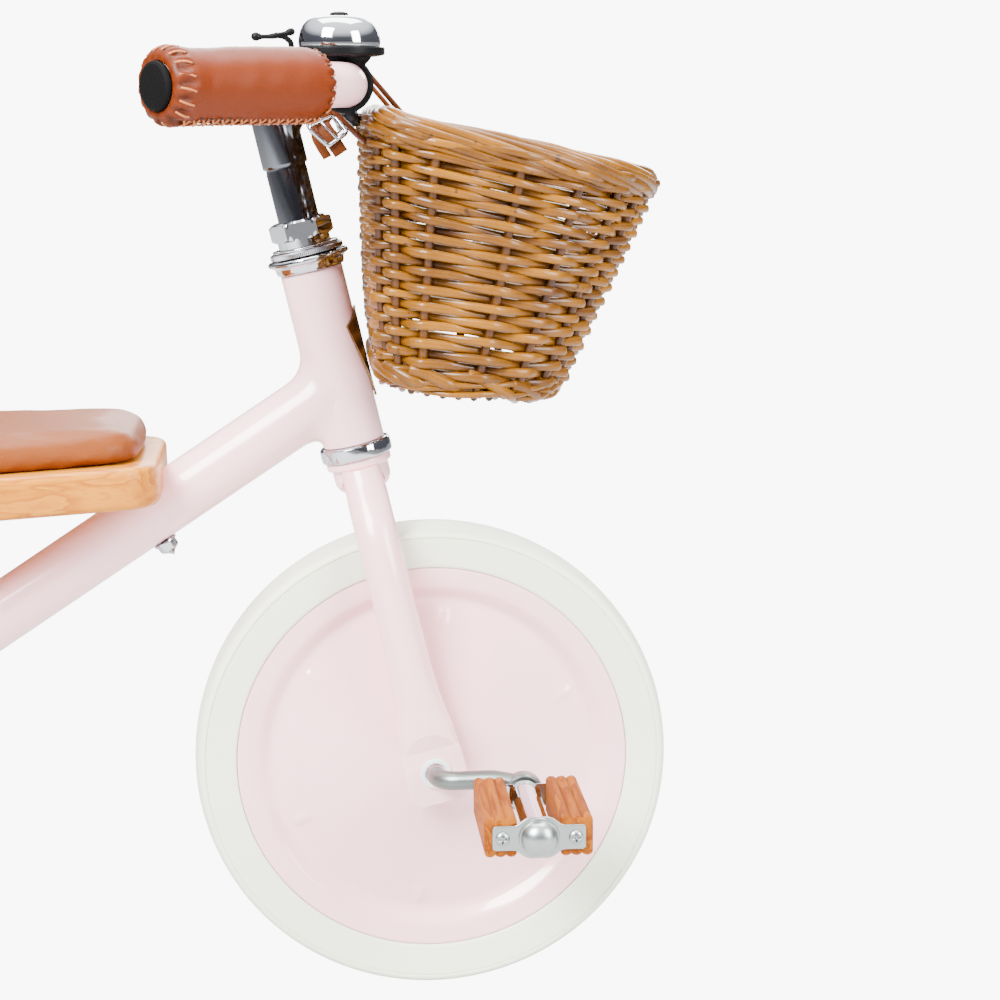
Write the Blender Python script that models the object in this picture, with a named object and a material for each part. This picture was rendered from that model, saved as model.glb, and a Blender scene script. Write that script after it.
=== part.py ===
"""Children's tricycle: pedals on the front wheel, wicker basket, wooden seat with a leather cushion.

Metres, +Z up, +X forward, Y = 0 is the middle plane, and +Y is the rider's left. The ground is Z = 0 and
X = 0 is halfway along the tricycle. Points named "bench" are counted from the foot of the front wheel:
x forward from its axle, y to the left, z up from the ground, all in millimetres.
Points named "steer" are counted from the front axle: x forward of the steering axis, y left, s up along it.
"""
import math

import bmesh
import bpy
from mathutils import Matrix, Vector

MM = 0.001
GAP = 0.3                      # running and fitting gap between neighbours, mm

# Driving dimensions, mm and degrees
FRONT_WHEEL_R = 150.0
REAR_WHEEL_R = 88.0
WHEELBASE = 505.0
FRONT_TYRE_HALF = 21.6
REAR_TYRE_HALF = 20.0
REAR_TRACK_HALF = 196.0
STEER_TILT = 13.2
STEER_TUBE_R = 14.3
STEER_BORE_R = 13.0
HEAD_TUBE_R = 19.25
HEAD_BORE_R = 17.0
HEAD_LOW, HEAD_HIGH = 206.8, 317.1
DOWN_TUBE_R = 19.05
DOWN_TUBE_WALL = 2.0
DOWN_TUBE_TOP = (-55.57, 0.0, 386.9)
AXLE_TUBE_R = 14.0
AXLE_TUBE_BORE_R = 12.2
AXLE_TUBE_HALF = 168.0
AXLE_ROD_R = 5.0
STAY_R = 8.0
BOARD_TOP_FRONT = (-162.0, 0.0, 347.8)
BOARD_TILT = 1.8
BOARD_THICK = 25.5
CUSHION_THICK = 22.0
BAR_R = 12.7
BAR_WALL = 1.6
BAR_CENTRE = (-52.5, 0.0, 570.5)
BAR_CORNER_Y = 114.0
BAR_END = (-152.6, 194.0, 569.5)
BAR_BEND_R = 43.0
GRIP_R = 20.0
GRIP_LENGTH = 107.0
QUILL_R = 12.7
STEM_HEAD_R = 14.0
BELL_CENTRE = (-55.4, -85.0)
BASKET_BACK_X = (-32.5, -36.5)     # base, rim
BASKET_DEPTH = (109.0, 178.0)
BASKET_HALF_WIDTH = (90.0, 120.0)
BASKET_BACK_Z = (386.7, 554.5)
BASKET_FRONT_Z = (376.0, 513.0)
BASKET_WALL = 6.5
STRAP_Y = 60.0
STRAP_WIDTH = 12.0
STRAP_THICK = 2.2
CRANK_ROD_R = 5.8
PEDAL_OFFSET = (52.0, -5.0)        # right pedal axis from the front axle, forward and up
PEDAL_INNER, PEDAL_OUTER = 84.5, 166.0
BLOCK_WIDTH, BLOCK_HEIGHT, BLOCK_SPREAD = 18.0, 22.0, 22.0

FRONT_AXLE = Vector(((WHEELBASE + REAR_WHEEL_R - FRONT_WHEEL_R) / 2, 0, FRONT_WHEEL_R)) * MM
TILT = math.radians(STEER_TILT)
STEER_UP = Vector((-math.sin(TILT), 0, math.cos(TILT)))
STEER_FORWARD = Vector((math.cos(TILT), 0, math.sin(TILT)))
LEFT = Vector((0, 1, 0))
UP = Vector((0, 0, 1))

# Base colour, roughness and metallic value of each finish
FINISHES = {
    "pink_paint": ((0.91, 0.76, 0.78), 0.25, 0.0),
    "chrome": ((0.78, 0.79, 0.80), 0.08, 1.0),
    "zinc": ((0.55, 0.60, 0.60), 0.35, 1.0),
    "alloy": ((0.62, 0.63, 0.66), 0.22, 1.0),
    "bronze": ((0.20, 0.13, 0.07), 0.35, 1.0),
    "cream_tyre": ((0.82, 0.82, 0.77), 0.55, 0.0),
    "black_plastic": ((0.02, 0.02, 0.02), 0.40, 0.0),
    "white_plastic": ((0.80, 0.82, 0.82), 0.40, 0.0),
    "seat_wood": ((0.72, 0.47, 0.20), 0.45, 0.0),
    "pedal_wood": ((0.62, 0.31, 0.12), 0.50, 0.0),
    "tan_leather": ((0.52, 0.21, 0.07), 0.50, 0.0),
    "wicker": ((0.45, 0.24, 0.08), 0.50, 0.0),
}


def bench(x, y, z):
    """A point from bench coordinates in millimetres."""
    return Vector((FRONT_AXLE.x, 0, 0)) + Vector((x, y, z)) * MM


def steer(x, y, s):
    """A point from steering coordinates in millimetres."""
    return FRONT_AXLE + (STEER_FORWARD * x + LEFT * y + STEER_UP * s) * MM


def facing(point, direction, roll=LEFT):
    """A placement whose local Z runs along direction and whose local Y is as near roll as it can be."""
    z = direction.normalized()
    x = roll.cross(z).normalized()
    return Matrix.Translation(point) @ Matrix((x, z.cross(x), z)).transposed().to_4x4()


def clear_scene():
    for item in list(bpy.data.objects):
        bpy.data.objects.remove(item, do_unlink=True)


def paint(item, finish):
    colour, rough, metal = FINISHES[finish]
    material = bpy.data.materials.new(item.name + "_" + finish)
    material.use_nodes = True
    shader = material.node_tree.nodes["Principled BSDF"]
    shader.inputs["Base Color"].default_value = (*colour, 1.0)
    shader.inputs["Roughness"].default_value = rough
    shader.inputs["Metallic"].default_value = metal
    item.data.materials.append(material)


def solid(name, bm, finish, place=None):
    """A named object from a bmesh whose sizes are in millimetres."""
    bmesh.ops.scale(bm, vec=(MM, MM, MM), verts=bm.verts)
    bmesh.ops.recalc_face_normals(bm, faces=bm.faces)
    mesh = bpy.data.meshes.new(name)
    bm.to_mesh(mesh)
    bm.free()
    mesh.shade_smooth()
    mesh.set_sharp_from_angle(angle=math.radians(35))
    item = bpy.data.objects.new(name, mesh)
    bpy.context.collection.objects.link(item)
    item.matrix_world = place if place else Matrix.Identity(4)
    if finish:
        paint(item, finish)
    else:
        item.hide_render = True
        item.display_type = "WIRE"
    return item


def turned(name, profile, finish, place=None, steps=20, first=0.5):
    """A profile of radius and height pairs spun about local Z; it closes on itself or on the axis.

    The first row of points stands at this share of a step, so at 0 a wheel's points reach its lowest line.
    """
    bm = bmesh.new()
    turn = first * math.tau / steps
    verts = [bm.verts.new((radius * math.cos(turn), radius * math.sin(turn), height))
             for radius, height in profile]
    on_axis = profile[0][0] == 0 and profile[-1][0] == 0
    ring = verts if on_axis else verts + verts[:1]
    edges = [bm.edges.new(pair) for pair in zip(ring, ring[1:])]
    bmesh.ops.spin(bm, geom=verts + edges, cent=(0, 0, 0), axis=(0, 0, 1), angle=math.tau,
                   steps=steps, use_merge=True)
    bmesh.ops.remove_doubles(bm, verts=bm.verts, dist=1e-4)
    bmesh.ops.dissolve_degenerate(bm, edges=bm.edges, dist=1e-4)
    return solid(name, bm, finish, place)


def rod(name, start, end, radius, finish, steps=20):
    """A round bar between two points."""
    length = (end - start).length / MM
    profile = [(0, 0), (radius, 0), (radius, length), (0, length)]
    roll = LEFT if abs((end - start).normalized().y) < 0.9 else UP
    return turned(name, profile, finish, facing(start, end - start, roll), steps)


def filleted(points, radii, closed=False, steps=6):
    """The path through the points with each corner turned into an arc of its own radius."""
    points = [Vector(point) for point in points]
    path = []
    for i, point in enumerate(points):
        if radii[i] == 0 or (not closed and i in (0, len(points) - 1)):
            path.append(point)
            continue
        back = (points[i - 1] - point).normalized()
        ahead = (points[(i + 1) % len(points)] - point).normalized()
        half = back.angle(ahead) / 2
        centre = point + (back + ahead).normalized() * radii[i] / math.sin(half)
        first = point + back * radii[i] / math.tan(half) - centre
        last = point + ahead * radii[i] / math.tan(half) - centre
        turn = first.angle(last)
        for k in range(steps + 1):
            a, b = math.sin(turn * (1 - k / steps)), math.sin(turn * k / steps)
            path.append(centre + (first * a + last * b) / math.sin(turn))
    return path


def bent_rod(name, points, radius, finish, roundness=4):
    """A round bar along a path in metres, made from a curve with a bevel."""
    curve = bpy.data.curves.new(name, "CURVE")
    curve.dimensions = "3D"
    curve.bevel_depth = radius * MM
    curve.bevel_resolution = roundness
    curve.use_fill_caps = True
    spline = curve.splines.new("POLY")
    spline.points.add(len(points) - 1)
    for slot, point in zip(spline.points, points):
        slot.co = (*point, 1)
    guide = bpy.data.objects.new(name + "_path", curve)
    bpy.context.collection.objects.link(guide)
    bpy.context.view_layer.update()
    bm = bmesh.new()
    bm.from_mesh(guide.to_mesh())
    bpy.data.objects.remove(guide, do_unlink=True)
    bmesh.ops.scale(bm, vec=(1 / MM, 1 / MM, 1 / MM), verts=bm.verts)
    bmesh.ops.remove_doubles(bm, verts=bm.verts, dist=1e-3)
    return solid(name, bm, finish)


def slab(name, outline, thick, finish, place=None, edge=0.0, edge_steps=2):
    """A plan outline in local X and Y, extruded by thick along local Z, with its edges rounded."""
    bm = bmesh.new()
    face = bm.faces.new([bm.verts.new((p[0], p[1], 0)) for p in outline])
    extruded = bmesh.ops.extrude_face_region(bm, geom=[face])
    top = [v for v in extruded["geom"] if isinstance(v, bmesh.types.BMVert)]
    bmesh.ops.translate(bm, vec=(0, 0, thick), verts=top)
    item = solid(name, bm, finish, place)
    if edge:
        bevel = item.modifiers.new("rounded_edges", "BEVEL")
        bevel.width = edge * MM
        bevel.segments = edge_steps
        bevel.limit_method = "ANGLE"
        bevel.angle_limit = math.radians(50)
    return item


def block(name, low, high, finish, place=None):
    """A plain block between two local corners."""
    outline = [(low[0], low[1]), (high[0], low[1]), (high[0], high[1]), (low[0], high[1])]
    place = (place if place else Matrix.Identity(4)) @ Matrix.Translation((0, 0, low[2] * MM))
    return slab(name, outline, high[2] - low[2], finish, place)


def lofted(name, rings, finish, place=None):
    """Rings of points, each of the same count, bridged in order and capped at both ends."""
    bm = bmesh.new()
    rows = [[bm.verts.new(point) for point in ring] for ring in rings]
    for low, high in zip(rows, rows[1:]):
        for i in range(len(low)):
            j = (i + 1) % len(low)
            bm.faces.new((low[i], low[j], high[j], high[i]))
    bm.faces.new(rows[0][::-1])
    bm.faces.new(rows[-1])
    return solid(name, bm, finish, place)


def boolean(item, other, operation):
    modifier = item.modifiers.new(other.name, "BOOLEAN")
    modifier.operation = operation
    modifier.object = other
    other.hide_render = True
    other.display_type = "WIRE"


def cut(item, *cutters):
    for cutter in cutters:
        boolean(item, cutter, "DIFFERENCE")


def add(item, *others):
    for other in others:
        boolean(item, other, "UNION")


# ---------------------------------------------------------------- frame

def rear_axle_point(y=0.0):
    return bench(-WHEELBASE, y, REAR_WHEEL_R)


def stay_top(side):
    return bench(-452, side * 46, 309.5)


def board_place(drop=0.0):
    """The seat board's top front corner on the middle plane, tilted nose up; drop is below the top."""
    tilt = Matrix.Rotation(math.radians(-BOARD_TILT), 4, "Y")
    return Matrix.Translation(bench(*BOARD_TOP_FRONT)) @ tilt @ Matrix.Translation((0, 0, -drop * MM))


def make_frame():
    """Head, down and axle tubes, two stays and the seat's pad, welded, with the tubes left hollow."""
    down_top, down_end = bench(*DOWN_TUBE_TOP), rear_axle_point()
    along = (down_end - down_top).normalized()
    frame = rod("main_frame", down_top + along * 6 * MM, down_end, DOWN_TUBE_R, "pink_paint", 22)
    head = turned("head_tube_skin", [(HEAD_BORE_R, HEAD_LOW), (HEAD_TUBE_R, HEAD_LOW), (HEAD_TUBE_R, HEAD_HIGH),
                                     (HEAD_BORE_R, HEAD_HIGH)], "pink_paint", facing(FRONT_AXLE, STEER_UP), 24)
    axle = turned("axle_tube_skin", [(AXLE_TUBE_BORE_R, -AXLE_TUBE_HALF), (AXLE_TUBE_R, -AXLE_TUBE_HALF),
                                     (AXLE_TUBE_R, AXLE_TUBE_HALF), (AXLE_TUBE_BORE_R, AXLE_TUBE_HALF)],
                  "pink_paint", facing(down_end, LEFT, UP), 18)
    pad = slab("seat_pad_skin", filleted([(-262, -58), (-302, -58), (-302, 58), (-262, 58)], [6] * 4, True, 3),
               4.0, "pink_paint", board_place(BOARD_THICK + GAP + 4.0))
    add(frame, head, axle, pad)
    for side in (1, -1):
        add(frame, rod(f"stay_skin_{side}", rear_axle_point(side * 62), stay_top(side), STAY_R, "pink_paint", 12))
    cut(frame,
        rod("head_clearing", steer(0, 0, HEAD_LOW + 6), steer(0, 0, HEAD_HIGH - 30), HEAD_BORE_R - 0.15, None, 22),
        rod("axle_clearing", rear_axle_point(-90), rear_axle_point(90), AXLE_TUBE_BORE_R - 0.15, None, 16),
        rod("down_tube_inside", down_top + along * 25 * MM, down_end - along * 21 * MM,
            DOWN_TUBE_R - DOWN_TUBE_WALL, None, 16),
        rod("down_tube_vent", down_top + along * 3 * MM, down_end - along * 5 * MM, 5.0, None, 8))
    for side in (1, -1):
        foot, top = rear_axle_point(side * 62), stay_top(side)
        rise = (top - foot).normalized()
        cut(frame, rod(f"stay_inside_{side}", foot + rise * 0.004, top - rise * 0.012, STAY_R - 1.5, None, 8),
            rod(f"rear_bolt_hole_{side}", rear_bolt_place(side) @ Vector((0, 0, -0.02)),
                rear_bolt_place(side) @ Vector((0, 0, 0.02)), 3.0 + GAP, None, 12))
    bolt = seat_bolt_line()
    cut(frame, rod("front_bolt_hole", bolt[0], bolt[1], 3.0 + GAP, None, 12))


def seat_bolt_line():
    """The seat's front bolt: square to the down tube, from below it up into the board."""
    along = (rear_axle_point() - bench(*DOWN_TUBE_TOP)).normalized()
    up = along.cross(LEFT).normalized()
    up = up if up.z > 0 else -up
    centre = bench(-176.8, 0, 306.3)
    return centre - up * 30 * MM, centre + up * 33 * MM, up, centre


def rear_bolt_place(side):
    """Under the seat pad, between the stays, at a rear seat screw."""
    return board_place(BOARD_THICK + GAP + 4.0) @ Matrix.Translation(Vector((-274, side * 22, 0)) * MM)


def make_seat():
    corners = [(-4, -68), (-178, -106), (-313, -96), (-313, 96), (-178, 106), (-4, 68)]
    plan = filleted([(x, y, 0) for x, y in corners], [27, 130, 48, 48, 130, 27], True, 5)
    board = slab("seat_board", plan, BOARD_THICK, "seat_wood", board_place(BOARD_THICK), 4.5)
    along = (rear_axle_point() - bench(*DOWN_TUBE_TOP)).normalized()
    top = bench(*DOWN_TUBE_TOP)
    start, _, up, centre = seat_bolt_line()
    cut(board, rod("tube_groove", top + along * 60 * MM, top + along * 260 * MM, DOWN_TUBE_R + 0.6, None, 24),
        rod("front_insert_hole", start, centre + up * 31 * MM, 3.0 + GAP, None, 12))
    for side in (1, -1):
        place = rear_bolt_place(side)
        cut(board, rod(f"rear_insert_hole_{side}", place @ Vector((0, 0, -0.002)),
                       place @ Vector((0, 0, 0.0205)), 3.0 + GAP, None, 12))
        turned("seat_rear_bolt_" + ("left" if side > 0 else "right"),
               [(0, -4.5), (4.4, -4.5), (5, -3.9), (5, -GAP), (3, -GAP), (3, 19.5), (0, 19.5)],
               "zinc", place, 14)
    pad_corners = [(-15, -56), (-178, -95), (-301, -86), (-301, 86), (-178, 95), (-15, 56)]
    pad_plan = filleted([(x, y, 0) for x, y in pad_corners], [24, 120, 42, 42, 120, 24], True, 4)
    slab("seat_cushion", pad_plan, CUSHION_THICK, "tan_leather", board_place(-GAP), 8.0, 2)

    facing_up = facing(centre, up)
    turned("seat_front_bolt", [(0, -24), (3, -24), (3, 29.5), (0, 29.5)], "zinc", facing_up, 14)
    low = -DOWN_TUBE_R - GAP
    turned("seat_front_nut", [(0, low - 13.4), (2.4, low - 12.7), (4.3, low - 10.4), (5.0, low - 7.4),
                                    (5.7, low - 7.0), (5.7, low - 1.6), (7.6, low - 1.5), (7.6, low),
                                    (3.0 + GAP, low), (3.0 + GAP, low - 6), (0, low - 6)],
                 "zinc", facing_up, 14)


def make_headset():
    axis = facing(FRONT_AXLE, STEER_UP)
    turned("headset_lower_cup", [(18.6, 197.3), (21.5, 197.3), (22.25, 198.2), (22.25, 205.4), (21.4, 206.5),
                                 (16.7, 206.5), (16.7, 214), (15.2, 214), (15.2, 203.8), (18.6, 203.8)],
           "chrome", axis, 20)
    turned("headset_upper_cup", [(15.2, 309.8), (16.7, 309.8), (16.7, 317.4), (20.8, 317.4),
                                 (21.6, 321.4), (25.0, 324.0), (25.0, 325.8), (24.3, 326.4),
                                 (18.9, 326.4), (18.9, 320.4), (15.2, 320.4)],
           "chrome", axis, 20)
    for name, height in (("lower_bearing", 201.2), ("upper_bearing", 322.9)):
        ring = [(16.6 + 1.5 * math.cos(a), height + 1.5 * math.sin(a))
                for a in (math.tau * k / 6 for k in range(6))]
        turned(name, ring, "chrome", axis, 16)
    turned("headset_cone", [(STEER_TUBE_R + GAP, 325.4), (17.9, 325.4), (18.2, 327.0), (22.6, 327.0),
                            (22.6, 330.0), (STEER_TUBE_R + GAP, 330.0)], "chrome", axis, 20)
    turned("headset_washer", [(STEER_TUBE_R + GAP, 330.3), (20.4, 330.3), (20.4, 332.4),
                              (STEER_TUBE_R + GAP, 332.4)], "chrome", axis, 20)
    nut_bore = STEER_TUBE_R + GAP
    barrel = turned("locknut_barrel", [(nut_bore, 332.7), (15.6, 332.7), (15.6, 337.6), (17.6, 337.6),
                                       (18.6, 338.6), (18.6, 347.2), (16.6, 348.9), (nut_bore, 348.9)],
                    None, axis, 20)
    flats = [(18.6 * math.cos(a), 18.6 * math.sin(a)) for a in (math.pi / 3 * k for k in range(6))]
    nut = slab("headset_locknut", flats, 18.0, "chrome", axis @ Matrix.Translation((0, 0, 332 * MM)))
    boolean(nut, barrel, "INTERSECT")


def make_badge():
    """A plain kite-shaped plate wrapped round the front of the head tube."""
    axis = facing(FRONT_AXLE, STEER_UP)
    inner = HEAD_TUBE_R + GAP
    sleeve = turned("head_badge", [(inner, 228), (inner + 1.1, 228), (inner + 1.1, 294), (inner, 294)],
                    "bronze", axis, 40)
    kite = [(289.7, 0), (279.4, 17.4), (232, 1.5), (232, -1.5), (279.4, -17.4)]
    face = slab("badge_outline", [(s, y) for s, y in kite], 40.0, None,
                Matrix.Translation(FRONT_AXLE) @ Matrix((STEER_UP, -LEFT, STEER_FORWARD)).transposed().to_4x4())
    boolean(sleeve, face, "INTERSECT")


# ---------------------------------------------------------------- fork and crown

def blade_ring(side, s, centre, half_x, half_y, square, shrink=0.0, points=14):
    """One cross-section of a fork blade, a superellipse in the steering frame."""
    ring = []
    for k in range(points):
        angle = math.tau * k / points
        c, n = math.cos(angle), math.sin(angle)
        x = (half_x - shrink) * math.copysign(abs(c) ** (2 / square), c)
        y = (half_y - shrink) * math.copysign(abs(n) ** (2 / square), n)
        ring.append((x, side * (centre + y), s))
    return ring


BLADE = [  # height, centre from the middle plane, half width, half depth, squareness
    (191.0, 14.0, 12.2, 11.0, 2.0), (180, 19.0, 12.6, 12.0, 2.0), (167, 27.0, 13.0, 12.6, 2.0),
    (153, 34.0, 13.0, 13.0, 2.0), (136, 37.6, 13.0, 13.0, 2.0), (85, 39.8, 13.0, 13.0, 2.0),
    (60, 41.6, 13.4, 11.8, 2.1), (44, 44.2, 15.4, 8.0, 2.4), (28, 47.0, 19.0, 3.0, 4.0),
    (-15, 47.2, 19.5, 2.8, 6.0), (-20.8, 47.2, 15.0, 2.8, 6.0)]


def make_fork():
    axis = facing(FRONT_AXLE, STEER_UP)
    fork = turned("fork", [(0, 178), (15, 178), (17.6, 182), (17.6, 191.6), (20, 192.4), (20, 196.9),
                           (16.2, 196.9), (16.2, 198.4), (STEER_TUBE_R, 198.4),
                           (STEER_TUBE_R, 347.4), (0, 347.4)], "pink_paint", axis, 20)
    for side in (1, -1):
        add(fork, lofted(f"blade_skin_{side}", [blade_ring(side, *row) for row in BLADE], "pink_paint", axis))
    cut(fork, rod("steerer_bore", steer(0, 0, 172), steer(0, 0, 352), STEER_BORE_R, None, 18))
    for side in (1, -1):
        hollow = [blade_ring(side, *row, shrink=2.2, points=8) for row in BLADE[1:7]]
        cut(fork, lofted(f"blade_inside_{side}", hollow, None, axis),
            rod(f"dropout_hole_{side}", bench(0, side * 40, FRONT_WHEEL_R), bench(0, side * 56, FRONT_WHEEL_R),
                7.8, None, 18))
        turned("fork_bush_" + ("left" if side > 0 else "right"),
               [(6.1, 44.7), (7.5, 44.7), (7.5, 50.3), (9.6, 50.3), (9.4, 52.0), (8.9, 52.3), (6.1, 52.3)],
               "white_plastic", facing(FRONT_AXLE, LEFT * side, UP), 18)


# ---------------------------------------------------------------- wheels

def ring_between(outline):
    """The outline and its mirror image across the wheel's middle plane, as one closed profile."""
    return outline + [(r, -h) for r, h in reversed(outline)]


def make_front_wheel():
    tyre = [(117.3, 12.8), (123.6, 15.8), (123.6, 17.8), (142.6, FRONT_TYRE_HALF), (147.4, 18.0),
            (FRONT_WHEEL_R, 7.0)]
    turned("front_tyre", ring_between(tyre), "cream_tyre", facing(FRONT_AXLE, LEFT, UP), 32, 0)
    shell = [(6.2, 33), (22, 32), (98, 10.6), (103, 10.6), (111, 16.0), (123, 17.4), (117, 13.2), (117, GAP / 2),
             (115.4, GAP / 2), (115.4, 14.0), (111.4, 14.2), (103.6, 9.0), (97.6, 9.0), (21.8, 30.4), (6.2, 31.4)]
    for side in (1, -1):
        turned("front_disc_" + ("left" if side > 0 else "right"), shell, "pink_paint",
               facing(FRONT_AXLE, LEFT * side, UP), 32, 0)


def pedal_axis(side):
    """Where a pedal's axis crosses the middle plane: side is 1 on the left and -1 on the right."""
    forward, up = PEDAL_OFFSET
    return bench(-side * forward, 0, FRONT_WHEEL_R - side * up)


def make_crank():
    """One bent rod with an eye and a pedal spindle at each end."""
    path = []
    for side in (-1, 1):
        centre = pedal_axis(side)
        reach = (centre - FRONT_AXLE)
        points = [FRONT_AXLE + reach + LEFT * side * 77 * MM,
                  FRONT_AXLE + reach * 0.72 + LEFT * side * 73.5 * MM,
                  FRONT_AXLE + LEFT * side * 66.5 * MM,
                  FRONT_AXLE + LEFT * side * 30 * MM]
        path += points if side < 0 else points[::-1]
    radii = [0, 0.02, 0.0125, 0, 0, 0.0125, 0.02, 0]
    crank = bent_rod("crank", filleted(path, radii, False, 3), CRANK_ROD_R, "zinc", 2)
    for side in (1, -1):
        place = facing(pedal_axis(side), LEFT * side, UP)
        add(crank, turned(f"eye_{side}", [(0, 71.5), (10.6, 71.5), (12, 73), (12, 81), (10.6, 82.4),
                                          (4.0, 82.4), (4.0, 164), (0, 164)], "zinc", place, 16),
            turned(f"drive_collar_{side}", [(0, 33.4), (10, 33.4), (10, 43.8), (0, 43.8)], "zinc",
                   facing(FRONT_AXLE, LEFT * side, UP), 14))


def fluted_outline(width, height, flutes=3, depth=1.3, steps=4):
    """A block's end: flat sides, and a row of rounded flutes along the top and the bottom."""
    count = flutes * steps
    top = []
    for k in range(count + 1):
        rise = depth * abs(math.sin(math.pi * k / steps))
        top.append((width * (k / count - 0.5), height / 2 - depth + rise))
    return top[::-1] + [(x, -z) for x, z in top]


def make_pedal(side):
    label = "left" if side > 0 else "right"
    place = facing(pedal_axis(side), LEFT * side, UP)
    length = PEDAL_OUTER - PEDAL_INNER
    for where, shift in (("front", 1), ("rear", -1)):
        # local X points forward on the left pedal and backward on the right one
        offset = Matrix.Translation(Vector((shift * side * BLOCK_SPREAD, 0, PEDAL_INNER)) * MM)
        slab(f"pedal_{label}_block_{where}", fluted_outline(BLOCK_WIDTH, BLOCK_HEIGHT), length, "pedal_wood",
             place @ offset)
    lobed = filleted([(-27, -7, 0), (-13, -7, 0), (-7, -12, 0), (7, -12, 0), (13, -7, 0), (27, -7, 0),
                      (27, 7, 0), (13, 7, 0), (7, 12, 0), (-7, 12, 0), (-13, 7, 0), (-27, 7, 0)],
                     [2, 4, 4, 4, 4, 2, 2, 4, 4, 4, 4, 2], True, 3)
    outer = slab(f"pedal_{label}_outer_plate", lobed, 2.0, "zinc",
                 place @ Matrix.Translation((0, 0, (PEDAL_OUTER + GAP) * MM)))
    cut(outer, turned(f"outer_plate_hole_{side}", [(0, 150), (4.6, 150), (4.6, 180), (0, 180)], None, place, 14))
    carrier = turned(f"pedal_{label}_carrier", [(0, 83.0), (9.6, 83.0), (9.6, 87), (8.25, 88.5), (8.25, PEDAL_OUTER),
                                                (0, PEDAL_OUTER)], "chrome", place, 16)
    inner = slab(f"inner_plate_{side}", [(-27, -7), (27, -7), (27, 7), (-27, 7)], 1.2, "zinc",
                 place @ Matrix.Translation((0, 0, 83.1 * MM)))
    bore = turned(f"carrier_bore_{side}", [(0, 70), (4.3, 70), (4.3, 180), (0, 180)], None, place, 14)
    add(carrier, inner)
    cut(carrier, bore)
    top = PEDAL_OUTER + GAP + 2.0 + GAP
    turned(f"pedal_{label}_cap", [(0, top)] + [(11 * math.cos(a), top + 0.6 + 8.6 * math.sin(a)) for a in
           (math.pi / 2 * k / 5 for k in range(5))] + [(0, top + 9.2)], "zinc", place, 16)


def make_rear_wheel(side):
    label = "left" if side > 0 else "right"
    place = facing(rear_axle_point(side * REAR_TRACK_HALF), LEFT * side, UP)
    tyre = [(66.3, 11.8), (71.4, 13.0), (71.4, 15.6), (79, REAR_TYRE_HALF), (85.6, 15.8), (REAR_WHEEL_R, 6.0)]
    turned(f"rear_tyre_{label}", ring_between(tyre), "cream_tyre", place, 24, 0)
    disc = [(7.6, 16.4), (14, 16.4), (56, 6.2), (60, 6.6), (65, 14.4), (71, 15.2), (66, 12.4), (66, -12.4),
            (71, -15.2), (64.4, -13.6), (64.4, 10.0), (60.8, 5.0), (56, 4.6), (10.4, 14.8), (10.4, -23.5),
            (7.6, -23.5)]
    turned(f"rear_disc_{label}", disc, "pink_paint", place, 24, 0)
    turned(f"rear_bush_{label}", [(AXLE_ROD_R + GAP, -27.0), (9.0, -27.0), (9.0, -24.0), (7.2, -24.0), (7.2, 16.4),
                                  (AXLE_ROD_R + GAP, 16.4)], "white_plastic", place, 14)
    turned(f"rear_cap_nut_{label}", [(0, 21.5), (AXLE_ROD_R + GAP, 21.5), (AXLE_ROD_R + GAP, 17.2), (11.5, 17.2),
                                     (11.5, 19.4), (9, 22.6), (4.6, 24.4), (0, 24.9)], "chrome", place, 16)


# ---------------------------------------------------------------- handlebar

def bar_path():
    """The handlebar's centre line from the right end to the left end."""
    x, _, z = BAR_CENTRE
    end_x, end_y, end_z = BAR_END
    points = [bench(end_x, -end_y, end_z), bench(x, -BAR_CORNER_Y, z), bench(x, BAR_CORNER_Y, z),
              bench(end_x, end_y, end_z)]
    return filleted(points, [0, BAR_BEND_R * MM, BAR_BEND_R * MM, 0], False, 5)


def make_handlebar():
    path = bar_path()
    bar = bent_rod("handlebar", path, BAR_R, "pink_paint", 4)
    inside = [path[0] * 2 - path[1]] + path[1:-1] + [path[-1] * 2 - path[-2]]
    cut(bar, bent_rod("handlebar_inside", inside, BAR_R - BAR_WALL, None, 3))
    for side in (1, -1):
        label = "left" if side > 0 else "right"
        end = path[-1] if side > 0 else path[0]
        inward = ((path[-2] if side > 0 else path[1]) - end).normalized()
        place = facing(end, inward, UP)
        hole = BAR_R + GAP
        turned(f"grip_{label}", [(hole, -0.5), (GRIP_R - 2, -0.5), (GRIP_R, 2.5), (GRIP_R, 20), (GRIP_R - 0.8, 60),
                                 (GRIP_R - 0.3, GRIP_LENGTH - 4), (GRIP_R - 2.5, GRIP_LENGTH - 0.5),
                                 (hole, GRIP_LENGTH - 0.5)], "tan_leather", place, 20)
        turned(f"grip_plug_{label}", [(0, -4.2), (11.5, -4.2), (13.2, -3.0), (13.2, -0.8), (10.0, -0.8),
                                      (10.0, 18), (0, 18)], "black_plastic", place, 16)


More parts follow.
